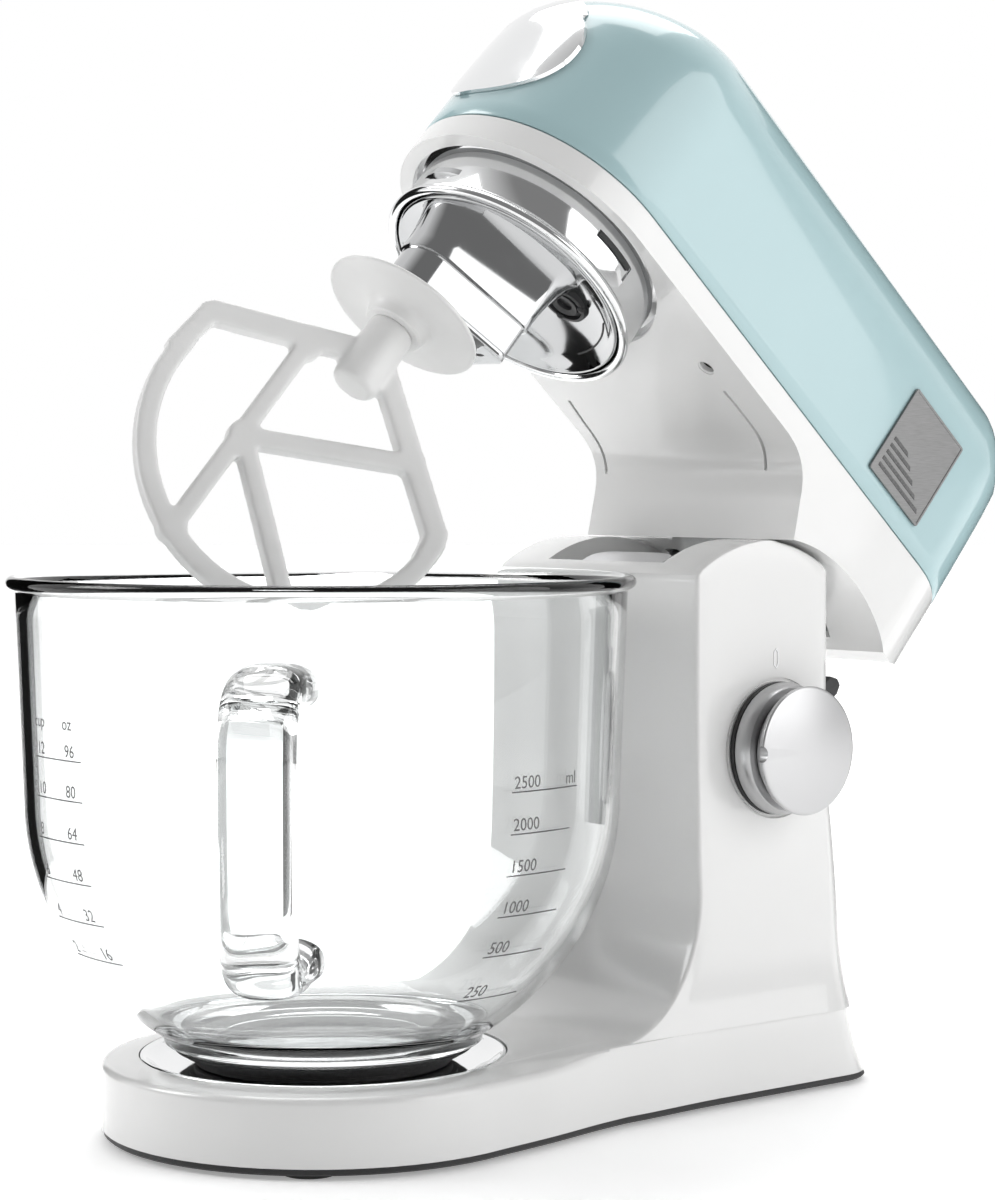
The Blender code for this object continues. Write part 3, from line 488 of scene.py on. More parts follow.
combine(stand, "DIFFERENCE",
        lathe("seat_recess", [(0, 0.0255), (0.0672, 0.0255), (0.0680, 0.0262), (0.0680, 0.0400),
                              (0, 0.0400)]))
hollow_rings = [mirrored(base_half(z, 0.0), 0) for z in (STAND_LOW - 0.002, 0.0150, 0.0235)]
hollow_rings += [[(x, y, z - 0.0042) for x, y, z in mirrored(column_half(level), 0)]
                 for level in sweep[2::2] + [0.1000, 0.1200]]


def shrunk(ring, by):
    """A ring drawn inwards to leave a wall."""
    rear, front = max(p[1] for p in ring), min(p[1] for p in ring)
    middle, reach = (rear + front) / 2, (rear - front) / 2
    widest = max(p[0] for p in ring)
    return [(x * (1 - by / widest), middle + (y - middle) * (1 - by / reach), z)
            for x, y, z in ring]


cavity = skin("cavity", [shrunk(ring, 0.0036) for ring in hollow_rings])
slot = slab("slot", [(0.1395, 0.2600), (0.1395, 0.1280), (0.2045, 0.1280), (0.2045, 0.1600),
                     (0.2600, 0.1600), (0.2600, 0.2600)], -0.0340, 0.0340, "X")
pocket_line = [(0.1390, 0.1100), (0.1905, 0.1100)] + arc((HINGE.y, HINGE.z), 0.0631, 73, 121, 9)
pockets = [slab("pocket", pocket_line, *span, "X") for span in ((0.0376, 0.0556),
                                                                (-0.0556, -0.0376))]
KNOB = Vector(next(j["pos_m"] for j in frame["joints"] if j["name"] == "knob_turn"))
combine(stand, "DIFFERENCE", cavity, slot, *pockets,
        lathe("pin_bore", [(0, -0.050), (0.0043, -0.050), (0.0043, 0.050), (0, 0.050)],
              HINGE, "X", 32),
        lathe("knob_bore", [(0, -0.009), (0.0046, -0.009), (0.0046, 0.012), (0, 0.012)],
              KNOB, "X", 32),
        slab("lever_window", [(0.0390, 0.185), (0.0510, 0.185), (0.0510, 0.225),
                              (0.0390, 0.225)], 0.1465, 0.1605),
        lathe("cord_window", [(0, 0.200), (0.0070, 0.200), (0.0070, 0.240), (0, 0.240)],
              (0, 0, 0.0250), "Y", 32))
# A shallow groove round the knob, pressed into the enamel
combine(stand, "DIFFERENCE",
        lathe("knob_groove", [(0.0262, -0.0012), (0.0275, -0.0012), (0.0275, 0.0060),
                              (0.0262, 0.0060), (0.0262, -0.0012)],
              (HALF + 0.0004, KNOB.y, KNOB.z), "X", 96))
fit(stand, "stand", "gloss_white", WHITE, "stand_housing", angle=30)

# The stop mark is a raised outline of a long hexagon on the column's side, above the knob.
mark = [(-0.0013, -0.0026), (0.0, -0.0040), (0.0013, -0.0026), (0.0013, 0.0026), (0.0, 0.0040),
        (-0.0013, 0.0026)]
MARK_Y, MARK_Z = KNOB.y, KNOB.z + 0.0350
side_x = flare(MARK_Z)
levels = [(0.62, -0.0010), (0.62, 0.0002), (1.0, 0.0002), (1.0, -0.0010)]
stop_mark = skin("stop_mark", [[(side_x + out, MARK_Y + y * grow, MARK_Z + z * (grow + 1) / 2)
                                for y, z in mark] for grow, out in levels], (False, False))
bpy.ops.object.mode_set(mode="EDIT")
bpy.ops.mesh.select_all(action="DESELECT")
bpy.ops.mesh.select_non_manifold()
bpy.ops.mesh.bridge_edge_loops()
bpy.ops.mesh.select_all(action="SELECT")
bpy.ops.mesh.normals_make_consistent(inside=False)
bpy.ops.object.mode_set(mode="OBJECT")
SATIN = Finish("satin_silver", (0.60, 0.60, 0.61), 0.34, Metallic=1.0)
satin_where = SATIN.place(scale=(1, 1, 24))
satin_grain = SATIN.noise(satin_where, 300.0, 3.0)
SATIN.vary("Roughness", 0.28 + satin_grain * 0.12)
SATIN.relief(satin_grain, 0.00002, 0.35)
fit(stop_mark, "stand", "satin_silver", SATIN, angle=20)

# ------------------------------------------------------------ underside and feet
# A black moulded cover closes the base from below and shows as a thin line under the enamel. Four
# soft rubber feet are pressed into it, each with a grip ring on its sole.
BLACK = Finish("black_plastic", (0.018, 0.018, 0.019), 0.45)
black_grain = BLACK.noise(BLACK.place(), 900.0, 2.0)
BLACK.vary("Roughness", 0.38 + black_grain * 0.18)
BLACK.relief(black_grain, 0.00003, 0.4)
RUBBER = Finish("black_rubber", (0.022, 0.022, 0.022), 0.7)
rubber_grain = RUBBER.noise(RUBBER.place(), 500.0, 3.0)
RUBBER.vary("Base Color", RUBBER.ramp(rubber_grain, (0.35, 0.016), (0.70, 0.034)))
RUBBER.vary("Roughness", 0.62 + rubber_grain * 0.16)
RUBBER.relief(rubber_grain, 0.00005, 0.4)

cover_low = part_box("bottom_cover")[0][2]
cover_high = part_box("bottom_cover")[1][2]
cover_line = [(0.0016, cover_low), (0.0006, cover_low + 0.0008), (0.0006, cover_high)]
bottom = skin("bottom_cover_trim", [shrunk(mirrored(base_half(z, 0.0), 0), inset)
                                    for inset, z in cover_line])
for where in ("front_left", "front_right", "rear_left", "rear_right"):
    low, high = (Vector(corner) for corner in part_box(f"foot_{where}"))
    middle, wide = (low + high) / 2, (high.x - low.x) / 2
    combine(bottom, "DIFFERENCE", lathe("foot_pocket", [(0, -0.01), (wide + 0.0003, -0.01),
            (wide + 0.0003, high.z + 0.0002), (0, high.z + 0.0002)], (middle.x, middle.y, 0),
            steps=48))
    foot = lathe(f"rubber_foot_{where}", [
        (0, 0.0003), (0.0040, 0.0003), (0.0043, 0.0), (0.0054, 0.0), (0.0057, 0.0005),
        (0.0066, 0.0005), (0.0069, 0.0), (wide - 0.0007, 0.0), (wide, 0.0007), (wide, high.z),
        (0, high.z)], (middle.x, middle.y, 0), steps=48)
    fit(foot, "stand", "black_rubber", RUBBER, f"foot_{where}")
fit(bottom, "stand", "black_plastic", BLACK, "bottom_cover")

# ------------------------------------------------------------ bowl seat
# A polished dish let into the top of the base, with a rolled rim and a raised ring that the
# bowl's foot drops into.
CHROME = Finish("polished_chrome", (0.83, 0.835, 0.84), 0.06, Metallic=1.0)
smudge = CHROME.noise(CHROME.place(), 38.0, 4.0)
CHROME.vary("Roughness", CHROME.ramp(smudge, (0.45, 0.035), (0.80, 0.11)))
CHROME.relief(CHROME.noise(CHROME.place(), 60.0, 1.0), 0.00002, 0.25)
seat = lathe("bowl_seat_dish", [
    (0, 0.0256), (0.0676, 0.0256), (0.0677, 0.0292)]
    + arc((0.0667, 0.0292), 0.0010, 0, 120, 6)
    + flowing([(0.0655, 0.0297), (0.0640, 0.0286), (0.0615, 0.0272), (0.0580, 0.0265)], 12)
    + [(0.0565, 0.0264), (0, 0.0264)], steps=128)
fit(seat, "stand", "chrome", CHROME, "bowl_seat")

# ------------------------------------------------------------ slot cover
# A satin plate, curved like the column's top, fills the front of the slot that the head's two
# hinge arms swing in, and leaves a dark gap at either side of them.
lens = []
for off, edge in ((-0.0016, 1.0), (0.0, 1.0), (0.0004, 0.985), (0.0006, 0.94)):
    ring = []
    for i in range(64):
        t = tau * i / 64
        across = 0.0030 + 0.0235 * edge * (abs(cos(t)) ** 0.35) * (1 if cos(t) > 0 else -1)
        along = 7.1 * edge * (abs(sin(t)) ** 0.75) * (1 if sin(t) > 0 else -1)
        swing = radians(113.1 + along)
        reach = 0.0630 + off
        ring.append((across, HINGE.y + reach * cos(swing), HINGE.z + reach * sin(swing)))
    lens.append(ring)
fit(skin("slot_plate", lens), "stand", "satin_silver", SATIN, "slot_cover", angle=25)

# ------------------------------------------------------------ release lever and cord inlet
# A small black lever stands out of the back of the column and frees the head when it is pressed
# in. The inlet below it, at the back of the base, is a collar of black plastic for the lead.
lever_line = [(0.1945, 0.1500), (0.2130, 0.1500), (0.2160, 0.1512), (0.2205, 0.1545),
              (0.2222, 0.1580), (0.2208, 0.1606), (0.2165, 0.1618), (0.2135, 0.1600),
              (0.2125, 0.1568), (0.1945, 0.1568)]
lever = soften(slab("lever_paddle", lever_line, 0.0401, 0.0499, "X"), 0.0009, 3, 20)
fit(lever, "lever", "black_plastic", BLACK, "release_lever")
inlet = lathe("inlet_collar", [
    (0, 0.2262), (0.0066, 0.2262), (0.0066, 0.2366), (0.0082, 0.2370)]
    + arc((0.0075, 0.2388), 0.0011, -60, 80, 6)
    + [(0.0060, 0.2400), (0.0040, 0.2398), (0.0035, 0.2392), (0.0035, 0.2292), (0, 0.2292)],
    (0, 0, 0.0250), "Y", 64)
fit(inlet, "stand", "black_plastic", BLACK, "cord_inlet")

# ------------------------------------------------------------ speed knob
# A satin aluminium disc with a thumb notch stands off a dial ring on the column's side. The dial
# carries a dot for each speed and a longer mark for every whole one, printed dark grey.
dial = lathe("dial_ring", [
    (0, 0.0034), (0.0250, 0.0034), (0.0258, 0.0037), (0.0260, 0.0043), (0.0247, 0.0097),
    (0.0242, 0.0102), (0, 0.0102)], KNOB, "X", 128)
# The black ring under the dial is painted shade: it stands in for the shadow in the gap between the
# dial and the column.
shadow_ring = lathe("dial_shadow_ring", [
    (0, 0.0009), (0.0254, 0.0009), (0.0260, 0.0012), (0.0260, 0.0030), (0.0252, 0.0034),
    (0, 0.0034)], KNOB, "X", 128)
fit(shadow_ring, "knob", "black_plastic", BLACK)
KNOB_METAL = Finish("turned_aluminium", (0.52, 0.52, 0.525), 0.36, Metallic=1.0)
knob_where = KNOB_METAL.node("ShaderNodeMapping", {"vector_type": "TEXTURE"}, {
    "Vector": KNOB_METAL.node("ShaderNodeTexCoord", {}, {}, "Object"), "Location": tuple(KNOB)})
knob_axes = KNOB_METAL.node("ShaderNodeVectorMath", {"operation": "MULTIPLY"}, {
    0: knob_where, 1: (0, 1, 1)})
knob_radius = KNOB_METAL.node("ShaderNodeVectorMath", {"operation": "LENGTH"}, {0: knob_axes},
                              "Value")
turning = (knob_radius * 16000).wave()
KNOB_METAL.vary("Roughness", 0.31 + turning * 0.03)
KNOB_METAL.relief(turning, 0.000006, 0.25)
fit(dial, "knob", "satin_silver", KNOB_METAL, "knob_dial", "knob_shaft")

knob = lathe("knob_disc", [
    (0, 0.0106), (0.0205, 0.0106), (0.0212, 0.0112), (0.0216, 0.0138), (0.0236, 0.0150),
    (0.0247, 0.0158)] + arc((0.0242, 0.0172), 0.0008, -40, 80, 6)
    + [(0.0236, 0.0182), (0, 0.0185)], KNOB, "X", 128)
notch = lathe("thumb_notch", [(0, 0.0100), (0.0030, 0.0100), (0.0034, 0.0200), (0, 0.0200)],
              (KNOB.x, KNOB.y - 0.0258, KNOB.z), "X", 48)
combine(knob, "DIFFERENCE", notch)
fit(knob, "knob", "satin_silver", KNOB_METAL, "speed_knob", angle=25)

PRINT = Finish("dark_print", (0.10, 0.10, 0.105), 0.55)
print_cloud = PRINT.noise(PRINT.place(), 1500.0, 2.0)
PRINT.vary("Base Color", PRINT.ramp(print_cloud, (0.3, 0.07), (0.7, 0.14)))
DOTS = 13
dots = []
for i in range(DOTS):
    turn = radians(118 + 13.0 * i)
    long = i % 2 == 0
    y, z = KNOB.y + 0.0253 * cos(turn), KNOB.z + 0.0253 * sin(turn)
    dot = lathe("speed_dot", [(0, -0.0003), (0.00075 if long else 0.0004, -0.0003),
                              (0.00075 if long else 0.0004, 0.0001), (0, 0.0001)], steps=16)
    around = Matrix.Rotation(turn - pi / 2, 4, "X")
    dot.data.transform(Matrix.Translation((KNOB.x + 0.0062, y, z)) @ around
                       @ Matrix.Rotation(radians(11), 4, "Y"))
    dots.append(dot)


def joined(name, pieces):
    """One piece from several separate solids."""
    bpy.ops.object.select_all(action="DESELECT")
    for piece in pieces:
        piece.select_set(True)
    bpy.context.view_layer.objects.active = pieces[0]
    bpy.ops.object.join()
    pieces[0].name = name
    return pieces[0]


fit(joined("speed_marks", dots), "knob", "black_plastic", PRINT)

# ------------------------------------------------------------ glass bowl
# Pressed clear glass, thick at the bottom, with a rolled lip, a pouring spout and a solid glass
# handle that is fused to the wall at both ends, opposite the spout.
WALL = 0.0040
BEND, DEEP, WIDE = 0.1250, 0.1036, 0.1093
RIM_HIGH = 0.2036
HANDLE_TURN = radians(45.0)


def wall_radius(z, inset=0.0):
    """Radius of the bowl's wall at a height."""
    if z > BEND:
        return WIDE - inset + (0.1120 - WIDE) * (z - BEND) / (0.1985 - BEND)
    return (WIDE - inset) * sqrt(max(0.0, 1 - ((BEND - z) / (DEEP - inset)) ** 2))


def wall_curve(inset, low, high, count):
    """The rounded lower wall and the straight upper one, as (radius, height)."""
    start = acos(min(1.0, (BEND - low) / (DEEP - inset)))
    curve = []
    for i in range(count):
        t = start + (pi / 2 - start) * i / (count - 1)
        z = BEND - (DEEP - inset) * cos(t)
        curve.append(((WIDE - inset) * sin(t), z))
    return curve + [(wall_radius(z, inset), z) for z in (0.1400, 0.1600, 0.1780, 0.1920, high)]


GLASS = Finish("clear_glass", (0.975, 0.985, 0.985), 0.0, Transmission_Weight=1.0, IOR=1.47)
glass_ripple = GLASS.noise(GLASS.place(scale=(1, 1, 0.5)), 26.0, 1.0)
GLASS.relief(glass_ripple, 0.00012, 0.12)
outer_wall = wall_curve(0.0, 0.0382, 0.2004, 26)
inner_wall = wall_curve(WALL, 0.0440, 0.2012, 26)
lip = arc((0.1128, 0.2036), 0.0025, -72, 150, 18) + [(0.1094, 0.2038), (0.1086, 0.2024)]
floor_line = flowing([inner_wall[0], (0.0500, 0.0396), (0.0380, 0.0386), (0.0, 0.0385)], 14)[1:]
under = [(0, 0.0352), (0.0380, 0.0350), (0.0410, 0.0338), (0.0560, 0.0338), (0.0585, 0.0350)]
bowl = lathe("mixing_bowl", under + outer_wall + lip + inner_wall[::-1] + floor_line, steps=144)
SPOUT_TURN, SPOUT_HALF, SPOUT_REACH, SPOUT_LOW = HANDLE_TURN + pi, radians(17), 0.0055, 0.1720
for vert in bowl.data.vertices:
    away = atan2(vert.co.x, -vert.co.y) - SPOUT_TURN
    away = abs((away + pi) % tau - pi)
    if away < SPOUT_HALF and vert.co.z > SPOUT_LOW and vert.co.xy.length > 0.09:
        push = SPOUT_REACH * cos(away / SPOUT_HALF * pi / 2) ** 2
        push *= ((vert.co.z - SPOUT_LOW) / (RIM_HIGH - SPOUT_LOW)) ** 1.6
        vert.co.xy += vert.co.xy.normalized() * push
grip_line = flowing([(0.1085, 0.1722), (0.1180, 0.1722), (0.1290, 0.1727), (0.1400, 0.1690),
                     (0.1466, 0.1610), (0.1485, 0.1500), (0.1484, 0.1300), (0.1478, 0.1100),
                     (0.1462, 0.0945), (0.1405, 0.0840), (0.1310, 0.0788), (0.1200, 0.0776),
                     (0.1010, 0.0790)], 60)
grip = []
for i, (reach, height) in enumerate(grip_line):
    before, after = grip_line[max(i - 1, 0)], grip_line[min(i + 1, len(grip_line) - 1)]
    along = (Vector(after) - Vector(before)).normalized()
    share = i / (len(grip_line) - 1)
    swell = 1 + 0.16 * (2 * share - 1) ** 8
    ring = []
    for k in range(36):
        t = tau * k / 36
        side = 0.0130 * swell * abs(cos(t)) ** 0.8 * (1 if cos(t) > 0 else -1)
        out = 0.0074 * swell * abs(sin(t)) ** 0.8 * (1 if sin(t) > 0 else -1)
        ring.append((side, -(reach - along.y * out), height + along.x * out))
    grip.append(ring)
handle = skin("handle", grip)
handle.data.transform(Matrix.Rotation(HANDLE_TURN, 4, "Z"))
inside = lathe("bowl_space", [(0, 0.0300)] + [(r, z) for r, z in wall_curve(0.0012, 0.0382, 0.1985, 20)]
               + [(0, 0.1985)], steps=144)
combine(handle, "DIFFERENCE", inside)
combine(bowl, "UNION", handle)
fit(bowl, "bowl", "clear_glass", GLASS, "glass_bowl", "bowl_handle", angle=38)

# Level marks printed grey on the outside of the bowl: millilitres on one side of the handle and
# cups and ounces on the other, in plain generic figures.
ML_TURN, CUP_TURN = radians(99), radians(-4)
MILLILITRES = [("2500", 0.1345), ("2000", 0.1200), ("1500", 0.1055), ("1000", 0.0910),
               ("500", 0.0765), ("250", 0.0600)]
CUPS = [("12", "96", 0.1440), ("10", "80", 0.1300), ("8", "64", 0.1155), ("6", "48", 0.1010),
        ("4", "32", 0.0865), ("2", "16", 0.0725)]
FIGURE = 0.0062


def wrapped(piece, turn):
    """Wrap a flat drawing, (across, height) in metres, round the bowl's outer wall."""
    for vert in piece.data.vertices:
        radius = wall_radius(vert.co.y) + 0.00004 + vert.co.z
        angle = turn + vert.co.x / wall_radius(vert.co.y)
        vert.co = (radius * sin(angle), -radius * cos(angle), vert.co.y)
    return piece


def figures(text, across, height):
    bpy.ops.object.select_all(action="DESELECT")
    bpy.ops.object.text_add(location=(0, 0, 0))
    piece = bpy.context.object
    piece.data.body = text
    piece.data.size = FIGURE
    piece.data.extrude = 0.00003
    piece.data.resolution_u = 3
    bpy.ops.object.convert(target="MESH")
    piece = bpy.context.object
    piece.data.transform(Matrix.Translation((across, height + 0.0012, 0.00003)))
    return piece


def stroke(low, high, height, thick=0.00045):
    """A fine line with enough points along it to follow the wall."""
    steps = 10
    top = [(low + (high - low) * i / steps, height + thick / 2) for i in range(steps + 1)]
    foot = [(x, height - thick / 2) for x, _ in top[::-1]]
    return slab("stroke", top + foot, 0.0, 0.00006)


marks = []
for text, height in MILLILITRES:
    short = 0.0 if text == "2500" else -0.004
    marks.append(wrapped(figures(text, -0.0180, height), ML_TURN))
    marks.append(wrapped(stroke(-0.0190, 0.0150 + short, height), ML_TURN))
marks.append(wrapped(figures("ml", 0.0080, MILLILITRES[0][1]), ML_TURN))
for cup, ounce, height in CUPS:
    marks.append(wrapped(figures(cup, -0.0150, height), CUP_TURN))
    marks.append(wrapped(figures(ounce, 0.0060, height), CUP_TURN))
    marks.append(wrapped(stroke(-0.0170, 0.0160, height), CUP_TURN))
marks.append(wrapped(figures("cup", -0.0170, 0.1535), CUP_TURN))
marks.append(wrapped(figures("oz", 0.0050, 0.1535), CUP_TURN))
fit(joined("level_marks", marks), "bowl", "black_plastic", PRINT)

# The foot is a black moulded ring with a stepped bayonet flange, snapped round the bowl's base.
foot_line = ([(0.0425, 0.0272), (0.0430, 0.0268), (0.0470, 0.0268), (0.0476, 0.0273)]
             + [(0.0478, 0.0286), (0.0492, 0.0290), (0.0494, 0.0301), (0.0520, 0.0306),
                (0.0523, 0.0317), (0.0548, 0.0322), (0.0556, 0.0331), (0.0552, 0.0336),
                (0.0412, 0.0336), (0.0412, 0.0300), (0.0425, 0.0292), (0.0425, 0.0272)])
fit(lathe("bowl_foot_ring", foot_line, steps=128), "bowl_base", "black_rubber", RUBBER,
    "bowl_foot", angle=25)

# ------------------------------------------------------------ head cover
# The top of the head is one deep-drawn steel cover, enamelled pale aqua, with straight sides, a
# round nose and a softly rounded crown. It sits on the underbody along a fine seam.
SEAM = 0.2483
CROWN = 0.0360                     # rounding of the cover's top
COVER_WALL = 0.0028
HEAD_HALF, HEAD_BACK, HEAD_ROUND, HEAD_TOP = 0.0605, 0.2315, 0.0320, 0.3380
AQUA = Finish("aqua_enamel", (0.415, 0.585, 0.61), 0.20, Coat_Weight=0.7, Coat_Roughness=0.05)
aqua_where = AQUA.place()
aqua_cloud = AQUA.noise(aqua_where, 7.0, 3.0)
AQUA.vary("Base Color", AQUA.ramp(aqua_cloud, (0.30, (0.40, 0.57, 0.595)), (0.70, (0.43, 0.60, 0.625))))
AQUA.vary("Roughness", 0.17 + aqua_cloud * 0.08)
AQUA.relief(AQUA.noise(aqua_where, 380.0, 1.0), 0.00002, 0.5)


def head_plan(z, inset, nose=0.0, back=0.0):
    """Level ring of the head: a round nose, straight sides and a rounded back."""
    half = HEAD_HALF - inset
    tip = [(x, y * (half - nose) / half) for x, y in arc((0, 0), half, -90, 0, 26)]
    end = HEAD_BACK - inset - back
    turn = max(HEAD_ROUND - inset, 0.006)
    side = [(half, (end - turn) * i / 6) for i in range(1, 6)]
    return mirrored(tip + side + arc((half - turn, end - turn), turn, 0, 90, 12) + [(0, end)], z)


def nose_lean(z):
    return 0.0060 * max(0.0, (z - 0.255) / 0.083) ** 1.5


def cover_levels(inset, low, crown_steps=14):
    """Rings of the cover's outer face, or of one lying inside or outside it."""
    rings = []
    for z in (low, low + 0.0006, 0.2560, 0.2650, 0.2750, 0.2850, 0.2950):
        edge = 0.0005 if z == low and inset == 0 else 0.0
        rings.append(head_plan(z, inset + edge, nose_lean(z), nose_lean(z) * 0.4))
    for step in range(1, crown_steps + 1):
        turn = pi / 2 * step / (crown_steps * 1.05)
        z = HEAD_TOP - CROWN + (CROWN - inset) * sin(turn)
        drawn = inset + (CROWN - inset) * (1 - cos(turn)) * 0.86
        lean = nose_lean(z) + 0.008 * (1 - cos(turn))
        rings.append(head_plan(z, drawn, lean, 0.0024 * eased(step, 0, 4) + lean * 0.3))
    return rings


cover = skin("head_cover_shell", cover_levels(0.0, SEAM + 0.0005))
combine(cover, "DIFFERENCE", skin("cover_space", cover_levels(COVER_WALL, SEAM - 0.002)),
        lathe("outlet_window", [(0, -0.070), (0.0115, -0.070), (0.0115, -0.040), (0, -0.040)],
              (0, 0, 0.2945), "Y", 48))
fit(cover, "head", "aqua_enamel", AQUA, "head_cover", angle=40, on_head=True)

# ------------------------------------------------------------ head underbody
# A die-cast tray under the cover, enamelled white. Behind the hub it drops into a neck and an
# arch that wraps the column's round top. Two long vents and a small hole are cut in its floor.
UNDERSIDE = 0.2370
ARCH = 0.0675


def tray_line(neck_points, arch_radius, from_turn, to_turn, tail_points):
    return (flowing(neck_points, 18) + arc((HINGE.y, HINGE.z), arch_radius, from_turn, to_turn, 40)
            + tail_points)


outer_line = tray_line([(0.1000, UNDERSIDE), (0.1080, 0.2368), (0.1150, 0.2354), (0.1215, 0.2318),
                        (0.1262, 0.2265), (0.1300, 0.2200), (0.1340, 0.2130)], ARCH, 121.6, 59.5,
                       flowing([(0.2140, 0.2100), (0.2215, 0.2150), (0.2270, 0.2230),
                                (0.2335, 0.2330)], 12)
                       + [(0.2335, SEAM), (-0.0700, SEAM), (-0.0700, UNDERSIDE)])
inner_line = tray_line([(0.1000, UNDERSIDE + COVER_WALL), (0.1090, 0.2396), (0.1190, 0.2375),
                        (0.1265, 0.2330), (0.1320, 0.2260)], ARCH + COVER_WALL, 117.0, 62.0,
                       [(0.2120, 0.2145), (0.2200, 0.2190), (0.2262, 0.2290), (0.2290, 0.2600),
                        (-0.0700, 0.2600), (-0.0700, UNDERSIDE + COVER_WALL)])
tray = slab("underbody_tray", outer_line, -0.0700, 0.0700, "X")
combine(tray, "INTERSECT", skin("tray_plan", [
    head_plan(z, inset) for z, inset in ((0.200, 0.0), (SEAM - 0.0006, 0.0), (SEAM, 0.0006))]))
hollow = slab("tray_space", inner_line, -0.0576, 0.0576, "X")
combine(hollow, "INTERSECT", skin("space_plan", [head_plan(z, COVER_WALL)
                                                 for z in (0.190, 0.270)]))
arm_slots = [slab("arm_slot", [(side * 0.0242, 0.1530), (side * 0.0320, 0.1530),
                               (side * 0.0320, 0.2015), (side * 0.0242, 0.2015)],
                  0.2050, 0.2350) for side in (1, -1)]
combine(tray, "DIFFERENCE", hollow, *arm_slots,
        lathe("hub_opening", [(0, 0.2200), (0.0550, 0.2200), (0.0550, 0.2366), (0.0545, 0.2374),
                              (0.0545, 0.2600), (0, 0.2600)], steps=128))
for line in (((-0.0508, 0.085), (-0.0524, 0.097), (-0.0534, 0.110), (-0.0540, 0.123)),
             ((0.0430, 0.082), (0.0436, 0.096), (0.0428, 0.110), (0.0402, 0.122))):
    middle = flowing(line, 14)
    vent = [(x - 0.0008, y) for x, y in middle] + [(x + 0.0008, y) for x, y in middle[::-1]]
    combine(tray, "DIFFERENCE", slab("vent", vent, 0.2200, 0.2420))
combine(tray, "DIFFERENCE", lathe("pin_hole", [(0, 0.2300), (0.0036, 0.2300), (0.0036, 0.2374),
                                               (0.0031, 0.2378), (0.0031, 0.2420), (0, 0.2420)],
                                  (0.0430, 0.0690, 0), steps=32))
fit(tray, "head", "gloss_white", WHITE, "head_underbody", angle=24, on_head=True)

# A dark plastic duct sits behind the vents and the hole, so nothing of the drive shows in them.
duct = slab("vent_duct", [(-0.0560, 0.0600), (0.0560, 0.0600), (0.0560, 0.1250),
                          (-0.0560, 0.1250)], 0.2425, 0.2440)
soften(duct, 0.0004, 2)
fit(duct, "head", "black_plastic", BLACK, on_head=True)

# ------------------------------------------------------------ side badge
# A thin brushed plate is let on to the cover's side with a fine raised border. Plain engraved bars
# of falling length fill its lower half.
BADGE = ((0.1482, 0.1852), (0.2575, 0.3000))
PLATE = Finish("brushed_plate", (0.25, 0.25, 0.26), 0.36, Metallic=1.0)
plate_grain = PLATE.noise(PLATE.place(turn=(radians(42), 0, 0), scale=(1, 1, 40)), 160.0, 4.0)
PLATE.vary("Roughness", 0.30 + plate_grain * 0.16)
PLATE.vary("Base Color", PLATE.ramp(plate_grain, (0.30, 0.20), (0.70, 0.27)))
PLATE.relief(plate_grain, 0.00002, 0.4)
(front_edge, rear_edge), (low_edge, high_edge) = BADGE
face_x = HEAD_HALF + 0.0013


def plate_ring(shrink, x):
    """Rounded rectangle of the badge, drawn in by a distance."""
    radius = max(0.0012 - shrink, 0.0002)
    low_y, high_y = front_edge + shrink, rear_edge - shrink
    low_z, high_z = low_edge + shrink, high_edge - shrink
    corners = [((high_y - radius, low_z + radius), -90), ((high_y - radius, high_z - radius), 0),
               ((low_y + radius, high_z - radius), 90), ((low_y + radius, low_z + radius), 180)]
    ring = []
    for middle, start in corners:
        ring += [(x, y, z) for y, z in arc(middle, radius, start, start + 90, 6)]
    return ring


badge = skin("side_badge", [plate_ring(0.0, HEAD_HALF + 0.0003), plate_ring(0.0, face_x - 0.0002),
                            plate_ring(0.0002, face_x), plate_ring(0.0010, face_x),
                            plate_ring(0.0012, face_x - 0.0003)])
bars = []
for row in range(5):
    height = low_edge + 0.0040 + 0.0034 * row
    length = (rear_edge - front_edge - 0.0070) * (1 - 0.16 * row)
    outline = [(front_edge + 0.0035, height), (front_edge + 0.0035 + length, height),
               (front_edge + 0.0035 + length - 0.0012, height + 0.0016),
               (front_edge + 0.0035, height + 0.0016)]
    bars.append(slab("badge_bar", outline, face_x - 0.0004, face_x - 0.00015, "X"))
fit(badge, "head", "satin_silver", PLATE, "badge_plate", on_head=True)
fit(joined("badge_bars", bars), "head", "black_plastic", PRINT, on_head=True)

# ------------------------------------------------------------ nose cover
# A polished shield follows the nose over the front drive outlet and slides off upwards. It is
# zinc, chromed, with a flat border and two small shoulders near its top.
half_shield = flowing([(0.0000, 0.2600), (0.0070, 0.2603), (0.0145, 0.2622), (0.0210, 0.2660),
                       (0.0262, 0.2712), (0.0297, 0.2785), (0.0308, 0.2860), (0.0300, 0.2935),
                       (0.0272, 0.3000), (0.0240, 0.3035), (0.0228, 0.3056), (0.0226, 0.3080)], 34)
half_shield += flowing([(0.0205, 0.3110), (0.0150, 0.3150), (0.0080, 0.3175), (0.0, 0.3182)], 10)
shield = half_shield + [(-x, z) for x, z in half_shield[-2:0:-1]]
nose_cover = skin("nose_shield", cover_levels(-0.0018, 0.2490))
combine(nose_cover, "DIFFERENCE", skin("nose_space", cover_levels(-0.0003, 0.2480)))
combine(nose_cover, "INTERSECT", slab("shield_outline", shield, -0.0750, -0.0300, "Y"))
NOSE_CHROME = Finish("chromed_zinc", (0.80, 0.805, 0.81), 0.08, Metallic=1.0)
nose_smudge = NOSE_CHROME.noise(NOSE_CHROME.place(), 55.0, 4.0)
NOSE_CHROME.vary("Roughness", NOSE_CHROME.ramp(nose_smudge, (0.45, 0.07), (0.85, 0.15)))
